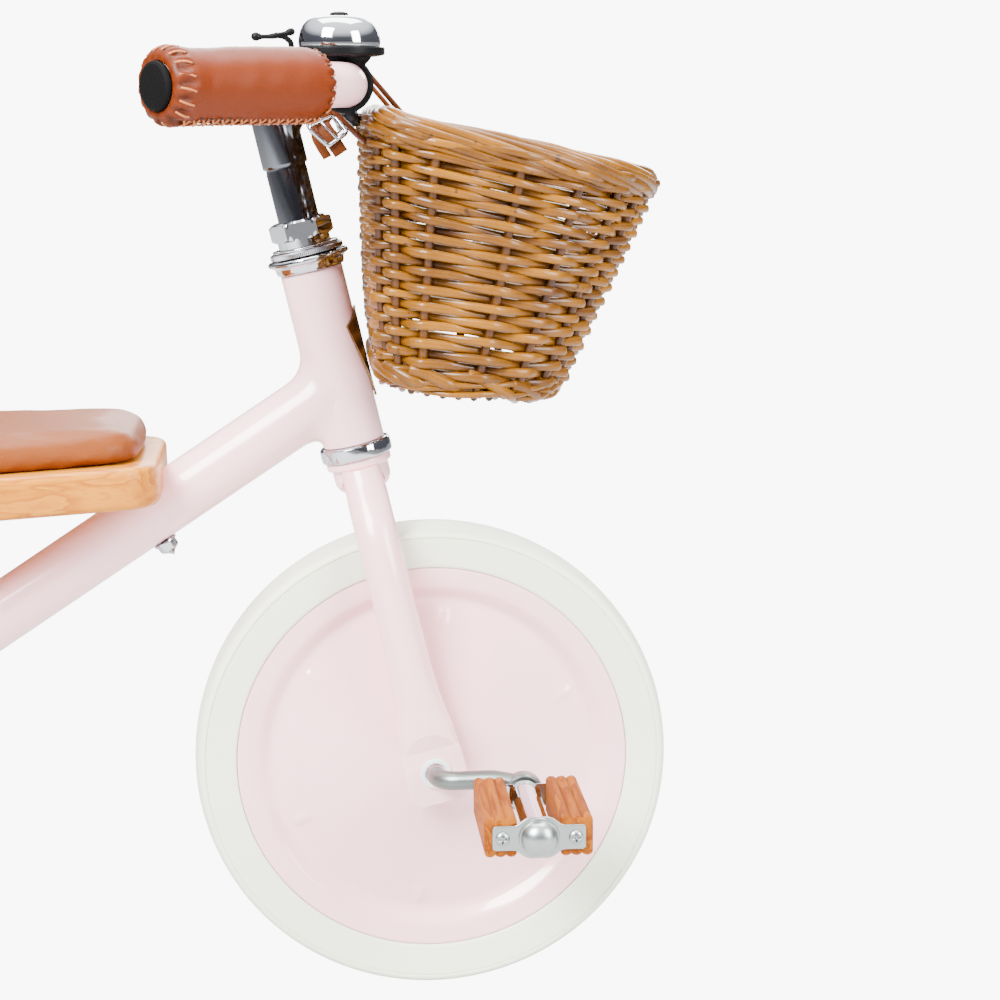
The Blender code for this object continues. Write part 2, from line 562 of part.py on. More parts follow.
def make_stem():
    axis = facing(FRONT_AXLE, STEER_UP)
    bar_x, bar_s = 44.9, 421.4
    bolt_s = bar_s - 21.0
    slant = Vector((1, 0, 0.75))
    pieces = []
    for name, keep_top in (("stem", True), ("stem_wedge", False)):
        radius, high = (QUILL_R, 384) if keep_top else (QUILL_R - 0.2, 330)
        bm = bmesh.new()
        bmesh.ops.create_cone(bm, cap_ends=True, segments=18, radius1=radius, radius2=radius, depth=high - 284)
        bmesh.ops.translate(bm, vec=(0, 0, (high + 284) / 2), verts=bm.verts)
        level = 302 + (GAP if keep_top else -GAP)
        cutting = bmesh.ops.bisect_plane(bm, geom=bm.verts[:] + bm.edges[:] + bm.faces[:],
                                         plane_co=(0, 0, level), plane_no=slant,
                                         clear_inner=keep_top, clear_outer=not keep_top)
        rim = [e for e in cutting["geom_cut"] if isinstance(e, bmesh.types.BMEdge)]
        bmesh.ops.holes_fill(bm, edges=rim)
        pieces.append(solid(name, bm, "alloy" if keep_top else "zinc", axis))
    stem, wedge = pieces
    head = turned("stem_head", [(0, 381.9), (STEM_HEAD_R - 0.6, 381.9), (STEM_HEAD_R, 382.6), (STEM_HEAD_R, 424),
                                (STEM_HEAD_R - 2, 428.5), (STEM_HEAD_R - 6, 430.2), (0, 430.2)], "alloy", axis, 20)
    reach = []
    for k in range(4):
        t = k / 3
        x, s = -2 + t * (bar_x - 6), 408 + (bar_s - 408) * t ** 1.4
        tall, wide = 15.0 - 3.0 * t, 12.5 + 3.5 * t
        ring = []
        for j in range(12):
            a = math.tau * j / 12
            ring.append((x, wide * math.cos(a), s + tall * math.sin(a)))
        reach.append(ring)
    across = steer(bar_x, 0, bar_s)
    clamp = rod("bar_clamp_skin", across - LEFT * 0.020, across + LEFT * 0.020, 17.2, "alloy", 20)
    lugs = block("clamp_lugs_skin", (bar_x - 5.5, -9, bar_s - 26), (bar_x + 5.5, 9, bar_s - 12), "alloy", axis)
    add(stem, head, lofted("stem_reach_skin", reach, "alloy", axis), clamp, lugs)
    bolt_hole = rod("expander_bolt_hole", steer(0, 0, 270), steer(0, 0, 440), 4.0 + GAP, None, 14)
    cut(stem, bolt_hole,
        rod("bar_hole", across - LEFT * 0.03, across + LEFT * 0.03, BAR_R + GAP, None, 24),
        block("clamp_slit", (bar_x - 0.9, -30, bar_s - 30), (bar_x + 0.9, 30, bar_s - 5), None, axis),
        rod("pinch_bolt_hole", steer(bar_x - 7, 0, bolt_s), steer(bar_x + 20, 0, bolt_s), 2.5 + GAP, None, 12))
    boolean(wedge, bolt_hole, "DIFFERENCE")
    turned("stem_expander_bolt", [(0, 280), (4.0, 280), (4.0, 430.5), (6.8, 430.5), (6.8, 436.2), (6.2, 436.8),
                                  (3.2, 436.8), (3.2, 433.5), (0, 433.5)], "zinc", axis, 14)
    turned("stem_clamp_bolt", [(0, -9), (3.8, -9), (4.3, -8.4), (4.3, -5.8), (2.5, -5.8), (2.5, 5.0), (0, 5.0)],
           "zinc", facing(steer(bar_x, 0, bolt_s), STEER_FORWARD), 16)


def make_bell():
    x, y = BELL_CENTRE
    bar = bench(BAR_CENTRE[0], y, BAR_CENTRE[2])
    upright = Matrix.Translation(bench(x, y, 0))
    base = turned("bell_base", [(0, 586.6), (20.5, 586.6), (25.5, 587.6), (25.5, 591.6), (24.2, 591.6),
                                (24.2, 589.4), (3.2, 589.4), (3.2, 606.4), (0, 606.4)], "black_plastic", upright, 22)
    neck = block("bell_neck_skin", (-9, -6.5, 570), (9, 6.5, 587.2), "black_plastic", upright)
    clamp = rod("bell_clamp_skin", bar - LEFT * 6.5 * MM, bar + LEFT * 6.5 * MM, 15.6, "black_plastic", 20)
    add(base, neck, clamp)
    cut(base, rod("bell_bar_hole", bar - LEFT * 0.02, bar + LEFT * 0.02, BAR_R + GAP, None, 22))
    outer, inner = [], []
    for k in range(6):
        a = math.pi / 2 * k / 5
        lift = math.sin(a) ** 0.9
        outer.append((3.6 + 19.9 * math.cos(a) ** 0.62, 592.2 + 17.6 * lift))
        inner.append((3.6 + 18.7 * math.cos(a) ** 0.62, 592.2 + 16.4 * lift))
    turned("bell_dome", outer + inner[::-1], "chrome", upright, 22)
    turned("bell_screw", [(0, 606.8), (3.0, 606.8), (3.0, 610.2), (5.0, 610.2), (4.4, 611.5), (0, 612.0)],
           "black_plastic", upright, 14)


def striker_pivot():
    return bench(BELL_CENTRE[0] - 27.5, BELL_CENTRE[1], 589.6)


def make_striker():
    """A thumb lever with a knob at its far end and a hammer by the dome, on a thin curved spring."""
    y = BELL_CENTRE[1]
    pivot = striker_pivot()
    foot = bench(BELL_CENTRE[0] - 27.2, y, 589.2)
    far, near = bench(-103, y, 597.6), bench(-82.6, y, 600.4)
    middle = far.lerp(near, 0.58)
    lever = bent_rod("bell_striker", [far, far.lerp(near, 0.3), near], 1.35, "black_plastic", 1)
    for name, centre, radius in (("thumb_knob", far, 2.5), ("hammer", near, 2.1)):
        ball = [(radius * math.sin(a), -radius * math.cos(a)) for a in (math.pi * k / 6 for k in range(7))]
        ball[0], ball[-1] = (0, -radius), (0, radius)
        add(lever, turned(name + "_skin", ball, "black_plastic", facing(centre, near - far), 8))
    arm = filleted([foot, bench(-83.6, y, 594.2), bench(-88.6, y, 597.6), middle], [0, 0.004, 0.004, 0], False, 3)
    add(lever, bent_rod("striker_arm_skin", arm, 0.9, "black_plastic", 1))
    return pivot


# ---------------------------------------------------------------- basket and straps

def mix(pair, level):
    return pair[0] + (pair[1] - pair[0]) * level


def basket_ring(level, inset=0.0, lift=0.0):
    """The basket's plan at a level from 0, its base, to 1, its rim: a flat back and a rounded front."""
    back = mix(BASKET_BACK_X, level)
    depth, half = mix(BASKET_DEPTH, level), mix(BASKET_HALF_WIDTH, level)
    front = []
    for k in range(13):
        angle = math.pi * (k / 12 - 0.5)
        x = back + 0.34 * depth + 0.66 * depth * math.cos(angle) ** 0.86
        front.append((x, half * math.copysign(abs(math.sin(angle)) ** 0.9, math.sin(angle)), 0))
    corners = [(back, half * 0.98, 0), (back, -half * 0.98, 0)]
    outline = filleted(front + corners, [0] * 13 + [28 + 4 * level] * 2, True, 4)
    slope = (mix(BASKET_FRONT_Z, level) - mix(BASKET_BACK_Z, level)) / depth
    middle = Vector((back + depth / 2, 0, 0))
    ring = []
    for p in outline:
        toward = middle - p
        spot = p + toward.normalized() * inset
        ring.append((spot.x, spot.y, mix(BASKET_BACK_Z, level) + slope * (spot.x - back) + lift))
    return ring


def make_basket():
    """A tub with an open top, a rolled rim and a slot in its back for each strap."""
    wall = BASKET_WALL
    rings = [basket_ring(0, 4), basket_ring(0.02, 0), basket_ring(0.25), basket_ring(0.5), basket_ring(0.75),
             basket_ring(0.90), basket_ring(0.94, -1.5), basket_ring(0.98, -1.5), basket_ring(1.0, 2.0),
             basket_ring(1.0, 9.0), basket_ring(0.97, 12.5), basket_ring(0.94, 12.0), basket_ring(0.90, wall),
             basket_ring(0.5, wall), basket_ring(0.25, wall), basket_ring(0.02, wall, 5.0)]
    basket = lofted("basket", rings, "wicker", Matrix.Translation(bench(0, 0, 0)))
    for side in (1, -1):
        slot = block(f"strap_slot_{side}", (-48, side * STRAP_Y - 7.5, 530.5), (-15, side * STRAP_Y + 7.5, 540.6),
                     None, Matrix.Translation(bench(0, 0, 0)))
        cut(basket, slot)


def belt_outline(first, first_r, second, second_r, steps=9):
    """The outline of a belt laid round two pulleys, in the X and Z of the bench."""
    gap = Vector(second) - Vector(first)
    heading = math.atan2(gap.y, gap.x)
    open_angle = math.acos((first_r - second_r) / gap.length)
    points = []
    for centre, radius, start, end in ((first, first_r, open_angle, math.tau - open_angle),
                                       (second, second_r, -open_angle, open_angle)):
        for k in range(steps + 1):
            a = heading + start + (end - start) * k / steps
            points.append((centre[0] + radius * math.cos(a), centre[1] + radius * math.sin(a)))
    return points


def make_strap(side):
    """A leather loop round the bar and the basket's rim, with the buckled end hanging behind the bar."""
    label = "left" if side > 0 else "right"
    bar, rim = (BAR_CENTRE[0], BAR_CENTRE[2]), (-29.0, 546.6)
    bar_r, rim_r = BAR_R + 0.9, 10.6
    half = STRAP_WIDTH / 2
    # local X is forward, local Y is up and local Z points to the right
    side_on = Matrix.Translation(bench(0, side * STRAP_Y + half, 0)) @ Matrix.Rotation(math.pi / 2, 4, "X")
    strap = slab(f"strap_{label}", belt_outline(bar, bar_r + STRAP_THICK, rim, rim_r + STRAP_THICK), STRAP_WIDTH,
                 "tan_leather", side_on)
    tail = slab(f"strap_tail_skin_{side}", [(-59.4, 557.9), (-59.0, 546), (-58.6, 528), (-56.3, 528), (-56.3, 546),
                                            (-56.7, 556.7)], STRAP_WIDTH - 1, "tan_leather",
                Matrix.Translation((0, -0.5 * MM, 0)) @ side_on)
    hole = slab(f"strap_inside_{side}", belt_outline(bar, bar_r, rim, rim_r), STRAP_WIDTH + 6, None,
                Matrix.Translation((0, 3 * MM, 0)) @ side_on)
    cut(strap, hole)
    add(strap, tail)
    buckle = block(f"buckle_{label}", (-62.0, -9, 531.0), (-53.2, 9, 534.0), "chrome",
                   Matrix.Translation(bench(0, side * STRAP_Y, 0)))
    cut(buckle, block(f"buckle_window_{side}", (-59.6, -6.6, 520), (-55.4, 6.6, 545), None,
                      Matrix.Translation(bench(0, side * STRAP_Y, 0))))


def pivot_empty(name, place):
    empty = bpy.data.objects.new(name, None)
    bpy.context.collection.objects.link(empty)
    empty.empty_display_size = 0.03
    empty.matrix_world = place
    return empty


def hang(empty, *names):
    """Parent the named pieces to a pivot and leave them where they are."""
    bpy.context.view_layer.update()
    for name in names:
        item = bpy.data.objects[name]
        item.parent = empty
        item.matrix_parent_inverse = empty.matrix_world.inverted()


def main():
    clear_scene()
    make_frame()
    make_seat()
    make_headset()
    make_badge()
    rod("rear_axle", rear_axle_point(-217.2), rear_axle_point(217.2), AXLE_ROD_R, "zinc", 20)
    make_fork()
    make_front_wheel()
    make_crank()
    make_handlebar()
    make_stem()
    make_bell()
    make_striker()
    make_basket()
    for side in (1, -1):
        make_pedal(side)
        make_rear_wheel(side)
        make_strap(side)

    steering = pivot_empty("steering_axis", facing(FRONT_AXLE, STEER_UP))
    hang(steering, "fork", "headset_cone", "headset_washer", "headset_locknut", "fork_bush_left", "fork_bush_right")
    sliding = pivot_empty("bar_height_axis", facing(FRONT_AXLE, STEER_UP))
    hang(sliding, "stem", "stem_wedge", "stem_expander_bolt", "stem_clamp_bolt", "handlebar", "grip_left",
         "grip_right", "grip_plug_left", "grip_plug_right", "bell_base", "bell_dome", "bell_screw", "basket",
         "strap_left", "strap_right", "buckle_left", "buckle_right")
    striker = pivot_empty("striker_axis", facing(striker_pivot(), LEFT, UP))
    hang(striker, "bell_striker")
    wheel = pivot_empty("front_axle_axis", facing(FRONT_AXLE, LEFT, UP))
    hang(wheel, "front_tyre", "front_disc_left", "front_disc_right", "crank")
    hang(steering, "bar_height_axis", "front_axle_axis")
    hang(sliding, "striker_axis")
    for side, label in ((1, "left"), (-1, "right")):
        pedal = pivot_empty(f"pedal_{label}_axis", facing(pedal_axis(side), LEFT, UP))
        hang(pedal, *[f"pedal_{label}_{piece}" for piece in
                      ("block_front", "block_rear", "outer_plate", "carrier", "cap")])
        hang(wheel, pedal.name)
        rear = pivot_empty(f"rear_wheel_{label}_axis", facing(rear_axle_point(side * REAR_TRACK_HALF), LEFT, UP))
        hang(rear, f"rear_tyre_{label}", f"rear_disc_{label}", f"rear_bush_{label}")


main()
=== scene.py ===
import math

import bmesh
import bpy
import numpy as np
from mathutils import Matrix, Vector


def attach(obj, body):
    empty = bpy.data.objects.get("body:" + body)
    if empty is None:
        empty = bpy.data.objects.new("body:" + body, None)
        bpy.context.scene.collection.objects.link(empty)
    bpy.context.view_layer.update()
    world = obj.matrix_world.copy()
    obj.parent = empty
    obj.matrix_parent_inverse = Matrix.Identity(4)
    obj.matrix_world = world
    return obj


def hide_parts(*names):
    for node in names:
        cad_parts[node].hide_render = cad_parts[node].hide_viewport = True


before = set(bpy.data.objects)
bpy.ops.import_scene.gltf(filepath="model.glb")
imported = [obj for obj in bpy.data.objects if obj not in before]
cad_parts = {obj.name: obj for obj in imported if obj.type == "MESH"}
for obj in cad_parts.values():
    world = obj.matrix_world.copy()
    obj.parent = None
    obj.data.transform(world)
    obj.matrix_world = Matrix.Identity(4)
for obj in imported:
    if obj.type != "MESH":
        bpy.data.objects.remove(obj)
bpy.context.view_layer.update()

# camera, then small helpers. Places below are in mm: x forward of the front axle, y left, z up.

cameraLook = {"place": (0.1355, -1.450, 0.566), "turn": (80.13, 0.0, -5.14), "lens": 84.24}
cameraData = bpy.data.cameras.new("sideCamera")
cameraData.lens = cameraLook["lens"]
cameraData.sensor_width = 36.0
camera = bpy.data.objects.new("sideCamera", cameraData)
bpy.context.scene.collection.objects.link(camera)
camera.location = cameraLook["place"]
camera.rotation_euler = [math.radians(a) for a in cameraLook["turn"]]
bpy.context.scene.camera = camera

originX = 221.5
axle = np.array([0.0, 0.0, 150.0])
tilt = math.radians(13.2)
steerUp = np.array([-math.sin(tilt), 0.0, math.cos(tilt)])
steerFwd = np.array([math.cos(tilt), 0.0, math.sin(tilt)])
left = np.array([0.0, 1.0, 0.0])
up = np.array([0.0, 0.0, 1.0])
rng = np.random.default_rng(7)


def arr(*v):
    return np.array(v, float)


def unit(v):
    v = np.asarray(v, float)
    return v / np.maximum(np.linalg.norm(v, axis=-1, keepdims=True), 1e-9)


def steer(x, y, s):
    x, y, s = np.broadcast_arrays(*[np.asarray(a, float) for a in (x, y, s)])
    return axle + x[..., None] * steerFwd + y[..., None] * left + s[..., None] * steerUp


def smooth(t, lo=0.0, hi=1.0):
    t = np.clip((np.asarray(t, float) - lo) / (hi - lo), 0, 1)
    return t * t * (3 - 2 * t)


def bump(x, centre, width):
    return np.exp(-(((x - centre) / width) ** 2))


# a table of rows read through smoothly: cubic pieces that pass through every row (Catmull-Rom)
def spline(rows, count):
    rows = np.asarray(rows, float)
    pad = np.vstack([2 * rows[0] - rows[1], rows, 2 * rows[-1] - rows[-2]])
    t = np.linspace(0, len(rows) - 1 - 1e-9, count)
    i = t.astype(int)
    f = (t - i)[:, None]
    a, b, c, d = pad[i], pad[i + 1], pad[i + 2], pad[i + 3]
    bend, twist = 2 * a - 5 * b + 4 * c - d, 3 * b - a - 3 * c + d
    return 0.5 * (2 * b + (c - a) * f + bend * f ** 2 + twist * f ** 3)


def resample(path, count):
    path = np.asarray(path, float)
    run = np.concatenate([[0], np.cumsum(np.linalg.norm(np.diff(path, axis=0), axis=1))])
    s = np.linspace(0, run[-1], count)
    return np.stack([np.interp(s, run, path[:, k]) for k in range(path.shape[1])], 1)


# each corner of a path becomes an arc that touches both of its sides
def fillet(points, radius, steps=8, closed=False):
    points = np.asarray(points, float)
    n = len(points)
    radius = np.broadcast_to(np.asarray(radius, float), (n,))
    out = []
    for i in range(n):
        if radius[i] <= 0 or (not closed and i in (0, n - 1)):
            out.append(points[i][None])
            continue
        p, a, b = points[i], points[i - 1], points[(i + 1) % n]
        ta, tb = unit(a - p), unit(b - p)
        half = math.acos(float(np.clip(ta @ tb, -1, 1))) / 2
        reach = min(radius[i] / math.tan(max(half, 0.02)), 0.49 * np.linalg.norm(a - p),
                    0.49 * np.linalg.norm(b - p))
        r = reach * math.tan(half)
        centre = p + unit(ta + tb) * r / math.sin(half)
        u, v = unit(p + ta * reach - centre), unit(p + tb * reach - centre)
        w = math.acos(float(np.clip(u @ v, -1, 1)))
        t = np.linspace(0, 1, steps + 1)[:, None]
        if w < 1e-4:
            out.append(p[None])
            continue
        out.append(centre + r * (np.sin(w * (1 - t)) * u + np.sin(w * t) * v) / math.sin(w))
    return np.vstack(out)


# A part is (points, quads, triangles, values): values hold each point's place along the piece and its tint,
# which on some pieces also carries painted shade.

def grid(pts, wrapRows=False, wrapCols=True, caps=(False, False), along=None, tint=0.5):
    rows, cols = pts.shape[:2]
    at = np.arange(rows * cols).reshape(rows, cols)
    r = at if not wrapRows else np.vstack([at, at[:1]])
    r = r if not wrapCols else np.hstack([r, r[:, :1]])
    quads = np.stack([r[:-1, :-1], r[:-1, 1:], r[1:, 1:], r[1:, :-1]], -1).reshape(-1, 4)
    verts = pts.reshape(-1, 3)
    if along is None:
        steps = np.linalg.norm(np.diff(pts.mean(1), axis=0), axis=1)
        along = np.concatenate([[0], np.cumsum(steps)])
    values = np.stack([np.repeat(along, cols), np.tile(np.linspace(0, 1, cols), rows),
                       np.broadcast_to(np.asarray(tint, float), (rows,)).repeat(cols)], 1)
    tris = []
    for want, row, flip in ((caps[0], at[0], True), (caps[1], at[-1], False)):
        if want:
            mid = len(verts)
            verts = np.vstack([verts, verts[row].mean(0)])
            values = np.vstack([values, values[row].mean(0)])
            nxt = np.roll(row, -1)
            fan = np.stack([row, nxt, np.full_like(row, mid)], 1)
            tris.append(fan[:, ::-1] if flip is False else fan)
    tris = np.vstack(tris) if tris else np.zeros((0, 3), int)
    return verts, quads, tris, values


# a round or squared section carried along a path; radius is one value, one per point, or two per point
def tube(path, radius, sides=14, closed=False, caps=True, ref=up, tint=0.5, square=2.0, start=0.0):
    path = np.asarray(path, float)
    if closed:
        tangent = unit(np.roll(path, -1, 0) - np.roll(path, 1, 0))
    else:
        tangent = unit(np.gradient(path, axis=0))
    ref = np.broadcast_to(np.asarray(ref, float), path.shape)
    side = unit(np.cross(tangent, ref))
    rise = np.cross(side, tangent)
    radius = np.asarray(radius, float)
    radius = np.broadcast_to(radius[..., None] if radius.ndim < 2 else radius, (len(path), 2))
    a = start + np.linspace(0, 2 * np.pi, sides, endpoint=False)
    c = np.sign(np.cos(a)) * np.abs(np.cos(a)) ** (2 / square)
    s = np.sign(np.sin(a)) * np.abs(np.sin(a)) ** (2 / square)
    pts = (path[:, None] + side[:, None] * (radius[:, None, :1] * c[None, :, None])
           + rise[:, None] * (radius[:, None, 1:] * s[None, :, None]))
    return grid(pts, closed, True, (caps and not closed,) * 2, tint=tint)


# extends a tube's ends into half balls: gives the longer path and its radii
def roundEnds(path, radius, steps=4):
    path = np.asarray(path, float)
    radius = np.broadcast_to(np.asarray(radius, float), (len(path),)).copy()
    a = np.linspace(0.12, np.pi / 2, steps, endpoint=False)
    t0, t1 = unit(path[0] - path[1]), unit(path[-1] - path[-2])
    head = path[0] + t0 * (radius[0] * np.cos(a))[:, None]
    tail = path[-1] + t1 * (radius[-1] * np.cos(a[::-1]))[:, None]
    return (np.vstack([head, path, tail]),
            np.concatenate([radius[0] * np.sin(a), radius, radius[-1] * np.sin(a[::-1])]))


# pairs of radius and height turned about an axis; shape may change the radius and height at each angle
def lathe(profile, centre, axis, steps=96, roll=up, soften=0.0, closed=False, shape=None,
          caps=(False, False)):
    profile = np.asarray(profile, float)
    if soften:
        flat = fillet(np.c_[profile, np.zeros(len(profile))], soften, 3, closed)
        profile = flat[:, :2]
    axis = unit(axis)
    u = unit(np.cross(roll, axis))
    w = np.cross(axis, u)
    a = np.linspace(0, 2 * np.pi, steps, endpoint=False)
    r = np.repeat(profile[:, :1], steps, 1)
    h = np.repeat(profile[:, 1:2], steps, 1)
    if shape is not None:
        r, h = shape(r, h, a[None])
    r = np.maximum(r, 0.01)
    pts = (np.asarray(centre, float) + (r * np.cos(a))[..., None] * u + (r * np.sin(a))[..., None] * w
           + h[..., None] * axis)
    run = np.concatenate([[0], np.cumsum(np.linalg.norm(np.diff(profile, axis=0), axis=1))])
    return grid(pts, closed, True, caps, along=run)


def join(parts):
    verts, quads, tris, values, base = [], [], [], [], 0
    for v, q, t, a in parts:
        verts.append(v)
        quads.append(q + base)
        tris.append(t + base)
        values.append(a)
        base += len(v)
    return np.vstack(verts), np.vstack(quads), np.vstack(tris), np.vstack(values)


def build(name, parts, look, body, nodes=(), sharp=40.0, weld=0.02):
    verts, quads, tris, values = join(parts)
    mesh = bpy.data.meshes.new(name)
    mesh.vertices.add(len(verts))
    mesh.vertices.foreach_set("co", ((verts + [originX, 0, 0]) * 0.001).astype(np.float32).ravel())
    loops = np.concatenate([quads.ravel(), tris.ravel()]).astype(np.int32)
    starts = np.concatenate([np.arange(len(quads)) * 4,
                             len(quads) * 4 + np.arange(len(tris)) * 3]).astype(np.int32)
    mesh.loops.add(len(loops))
    mesh.loops.foreach_set("vertex_index", loops)
    mesh.polygons.add(len(starts))
    mesh.polygons.foreach_set("loop_start", starts)
    mesh.update(calc_edges=True)
    layer = mesh.attributes.new("lay", "FLOAT_VECTOR", "POINT")
    layer.data.foreach_set("vector", values.astype(np.float32).ravel())
    mesh.validate()
    bm = bmesh.new()
    bm.from_mesh(mesh)
    bmesh.ops.remove_doubles(bm, verts=bm.verts, dist=weld * 0.001)
    bmesh.ops.recalc_face_normals(bm, faces=bm.faces)
    bm.to_mesh(mesh)
    bm.free()
    mesh.shade_smooth()
    mesh.set_sharp_from_angle(angle=math.radians(sharp))
    obj = bpy.data.objects.new(name, mesh)
    bpy.context.scene.collection.objects.link(obj)
    for m in look if isinstance(look, (list, tuple)) else [look]:
        mesh.materials.append(m)
    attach(obj, body)
    if nodes:
        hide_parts(*nodes)
    return obj


print("stage: helpers ready")

# materials


def group(name, inputs, outputs):
    tree = bpy.data.node_groups.new(name, "ShaderNodeTree")
    for label, kind, value in inputs:
        socket = tree.interface.new_socket(label, in_out="INPUT", socket_type=kind)
        socket.default_value = value
    for label, kind in outputs:
        tree.interface.new_socket(label, in_out="OUTPUT", socket_type=kind)
    return tree, tree.nodes.new("NodeGroupInput"), tree.nodes.new("NodeGroupOutput")


def node(tree, kind, **settings):
    made = tree.nodes.new(kind)
    for key, value in settings.items():
        if key.startswith("in_"):
            made.inputs[key[3:].replace("_", " ")].default_value = value
        else:
            setattr(made, key, value)
    return made


def math2(tree, operation, a, b=None, clamp=False):
    made = node(tree, "ShaderNodeMath", operation=operation, use_clamp=clamp)
    for slotIndex, value in ((0, a), (1, b)):
        if value is None:
            continue
        if isinstance(value, (int, float)):
            made.inputs[slotIndex].default_value = value
        else:
            tree.links.new(value, made.inputs[slotIndex])
    return made.outputs[0]


def ramp(tree, source, stops):
    made = node(tree, "ShaderNodeValToRGB")
    tree.links.new(source, made.inputs[0])
    while len(made.color_ramp.elements) < len(stops):
        made.color_ramp.elements.new(0.5)
    for element, (place, colour) in zip(made.color_ramp.elements, stops):
        element.position = place
        element.color = (*colour, 1) if len(colour) == 3 else colour
    return made.outputs[0]


def mixColour(tree, factor, a, b, blend="MIX"):
    made = node(tree, "ShaderNodeMix", data_type="RGBA", blend_type=blend)
    for index, value in ((0, factor), (6, a), (7, b)):
        if isinstance(value, (int, float)):
            made.inputs[index].default_value = value
        elif isinstance(value, tuple):
            made.inputs[index].default_value = (*value, 1)
        else:
            tree.links.new(value, made.inputs[index])
    return made.outputs[2]


# relief: a fine bump from two sizes of noise over the object's own coordinates
relief, gin, gout = group("relief", [("Scale", "NodeSocketFloat", 200.0), ("Depth", "NodeSocketFloat", 0.1),
                                     ("Stretch", "NodeSocketVector", (1.0, 1.0, 1.0))],
                          [("Normal", "NodeSocketVector"), ("Value", "NodeSocketFloat")])
coord = node(relief, "ShaderNodeTexCoord")
spread = node(relief, "ShaderNodeVectorMath", operation="MULTIPLY")
relief.links.new(coord.outputs["Object"], spread.inputs[0])
relief.links.new(gin.outputs["Stretch"], spread.inputs[1])
noise = node(relief, "ShaderNodeTexNoise", in_Detail=5.0, in_Roughness=0.6)
relief.links.new(spread.outputs[0], noise.inputs["Vector"])
relief.links.new(gin.outputs["Scale"], noise.inputs["Scale"])
bumpNode = node(relief, "ShaderNodeBump", in_Distance=0.001)
relief.links.new(gin.outputs["Depth"], bumpNode.inputs["Strength"])
relief.links.new(noise.outputs[0], bumpNode.inputs["Height"])
relief.links.new(bumpNode.outputs[0], gout.inputs["Normal"])
relief.links.new(noise.outputs[0], gout.inputs["Value"])

# mottle: slow changes of a colour's brightness and of roughness, as handling and dust leave them
mottle, gin, gout = group("mottle", [("Color", "NodeSocketColor", (0.5, 0.5, 0.5, 1)),
                                     ("Amount", "NodeSocketFloat", 0.1), ("Scale", "NodeSocketFloat", 12.0),
                                     ("Rough", "NodeSocketFloat", 0.4)],
                          [("Color", "NodeSocketColor"), ("Rough", "NodeSocketFloat")])
coord = node(mottle, "ShaderNodeTexCoord")
noise = node(mottle, "ShaderNodeTexNoise", in_Detail=4.0, in_Roughness=0.55)
mottle.links.new(coord.outputs["Object"], noise.inputs["Vector"])
mottle.links.new(gin.outputs["Scale"], noise.inputs["Scale"])
swing = math2(mottle, "SUBTRACT", noise.outputs[0], 0.5)
change = math2(mottle, "MULTIPLY", swing, gin.outputs["Amount"])
hsv = node(mottle, "ShaderNodeHueSaturation")
mottle.links.new(gin.outputs["Color"], hsv.inputs["Color"])
mottle.links.new(math2(mottle, "ADD", change, 1.0), hsv.inputs["Value"])
mottle.links.new(hsv.outputs[0], gout.inputs["Color"])
mottle.links.new(math2(mottle, "ADD", math2(mottle, "MULTIPLY", change, 0.6), gin.outputs["Rough"], True),
                 gout.inputs["Rough"])


def finish(name, colour, rough, metal=0.0, coat=0.0, amount=0.06, scale=14.0, grain=(400.0, 0.05),
           stretch=(1, 1, 1),
           **extra):
    made = bpy.data.materials.new(name)
    made.use_nodes = True
    tree = made.node_tree
    shader = tree.nodes["Principled BSDF"]
    shader.inputs["Metallic"].default_value = metal
    shader.inputs["Coat Weight"].default_value = coat
    shader.inputs["Coat Roughness"].default_value = 0.06
    for key, value in extra.items():
        shader.inputs[key.replace("_", " ")].default_value = value
    tone = node(tree, "ShaderNodeGroup", node_tree=mottle, in_Color=(*colour, 1), in_Amount=amount,
                in_Scale=scale,
                in_Rough=rough)
    tree.links.new(tone.outputs["Color"], shader.inputs["Base Color"])
    tree.links.new(tone.outputs["Rough"], shader.inputs["Roughness"])
    fine = node(tree, "ShaderNodeGroup", node_tree=relief, in_Scale=grain[0], in_Depth=grain[1],
                in_Stretch=stretch)
    tree.links.new(fine.outputs["Normal"], shader.inputs["Normal"])
    return made


pinkPaint = finish("pinkPaint", (0.95, 0.55, 0.58), 0.30, coat=0.7, amount=0.03, grain=(260.0, 0.035))
discPaint = finish("discPaint", (0.95, 0.54, 0.575), 0.28, coat=0.8, amount=0.03, scale=9.0,
                   grain=(90.0, 0.05))
tyreRubber = finish("tyreRubber", (0.78, 0.82, 0.66), 0.50, amount=0.05, grain=(900.0, 0.10))
chrome = finish("chromePlate", (0.50, 0.51, 0.54), 0.07, 1.0, amount=0.05, scale=40.0, grain=(300.0, 0.012))
alloy = finish("polishedAlloy", (0.12, 0.125, 0.14), 0.14, 1.0, amount=0.10, scale=60.0,
               grain=(700.0, 0.03),
               stretch=(1, 1, 0.12))
zinc = finish("zincPlate", (0.33, 0.36, 0.355), 0.30, 1.0, amount=0.12, scale=80.0, grain=(900.0, 0.06))
darkZinc = finish("wornZinc", (0.17, 0.195, 0.185), 0.36, 1.0, amount=0.15, scale=80.0, grain=(900.0, 0.06))
blackPlastic = finish("blackPlastic", (0.0035, 0.0038, 0.004), 0.40, grain=(1600.0, 0.12),
                      Specular_IOR_Level=0.08)
blackRubber = finish("blackRubber", (0.003, 0.003, 0.003), 0.60, grain=(1500.0, 0.25),
                     Specular_IOR_Level=0.04)
nylon = finish("whiteNylon", (0.78, 0.80, 0.81), 0.38, grain=(600.0, 0.04), Subsurface_Weight=0.1)
bronze = finish("darkBronze", (0.24, 0.16, 0.08), 0.34, 1.0, amount=0.25, scale=50.0, grain=(800.0, 0.05))
threadBrown = finish("lacing", (0.40, 0.11, 0.022), 0.55, grain=(1500.0, 0.2))
# painted shade: near-black dots set in the lacing holes stand in for the shade inside them
holeShade = finish("lacingHole", (0.05, 0.014, 0.004), 0.8)


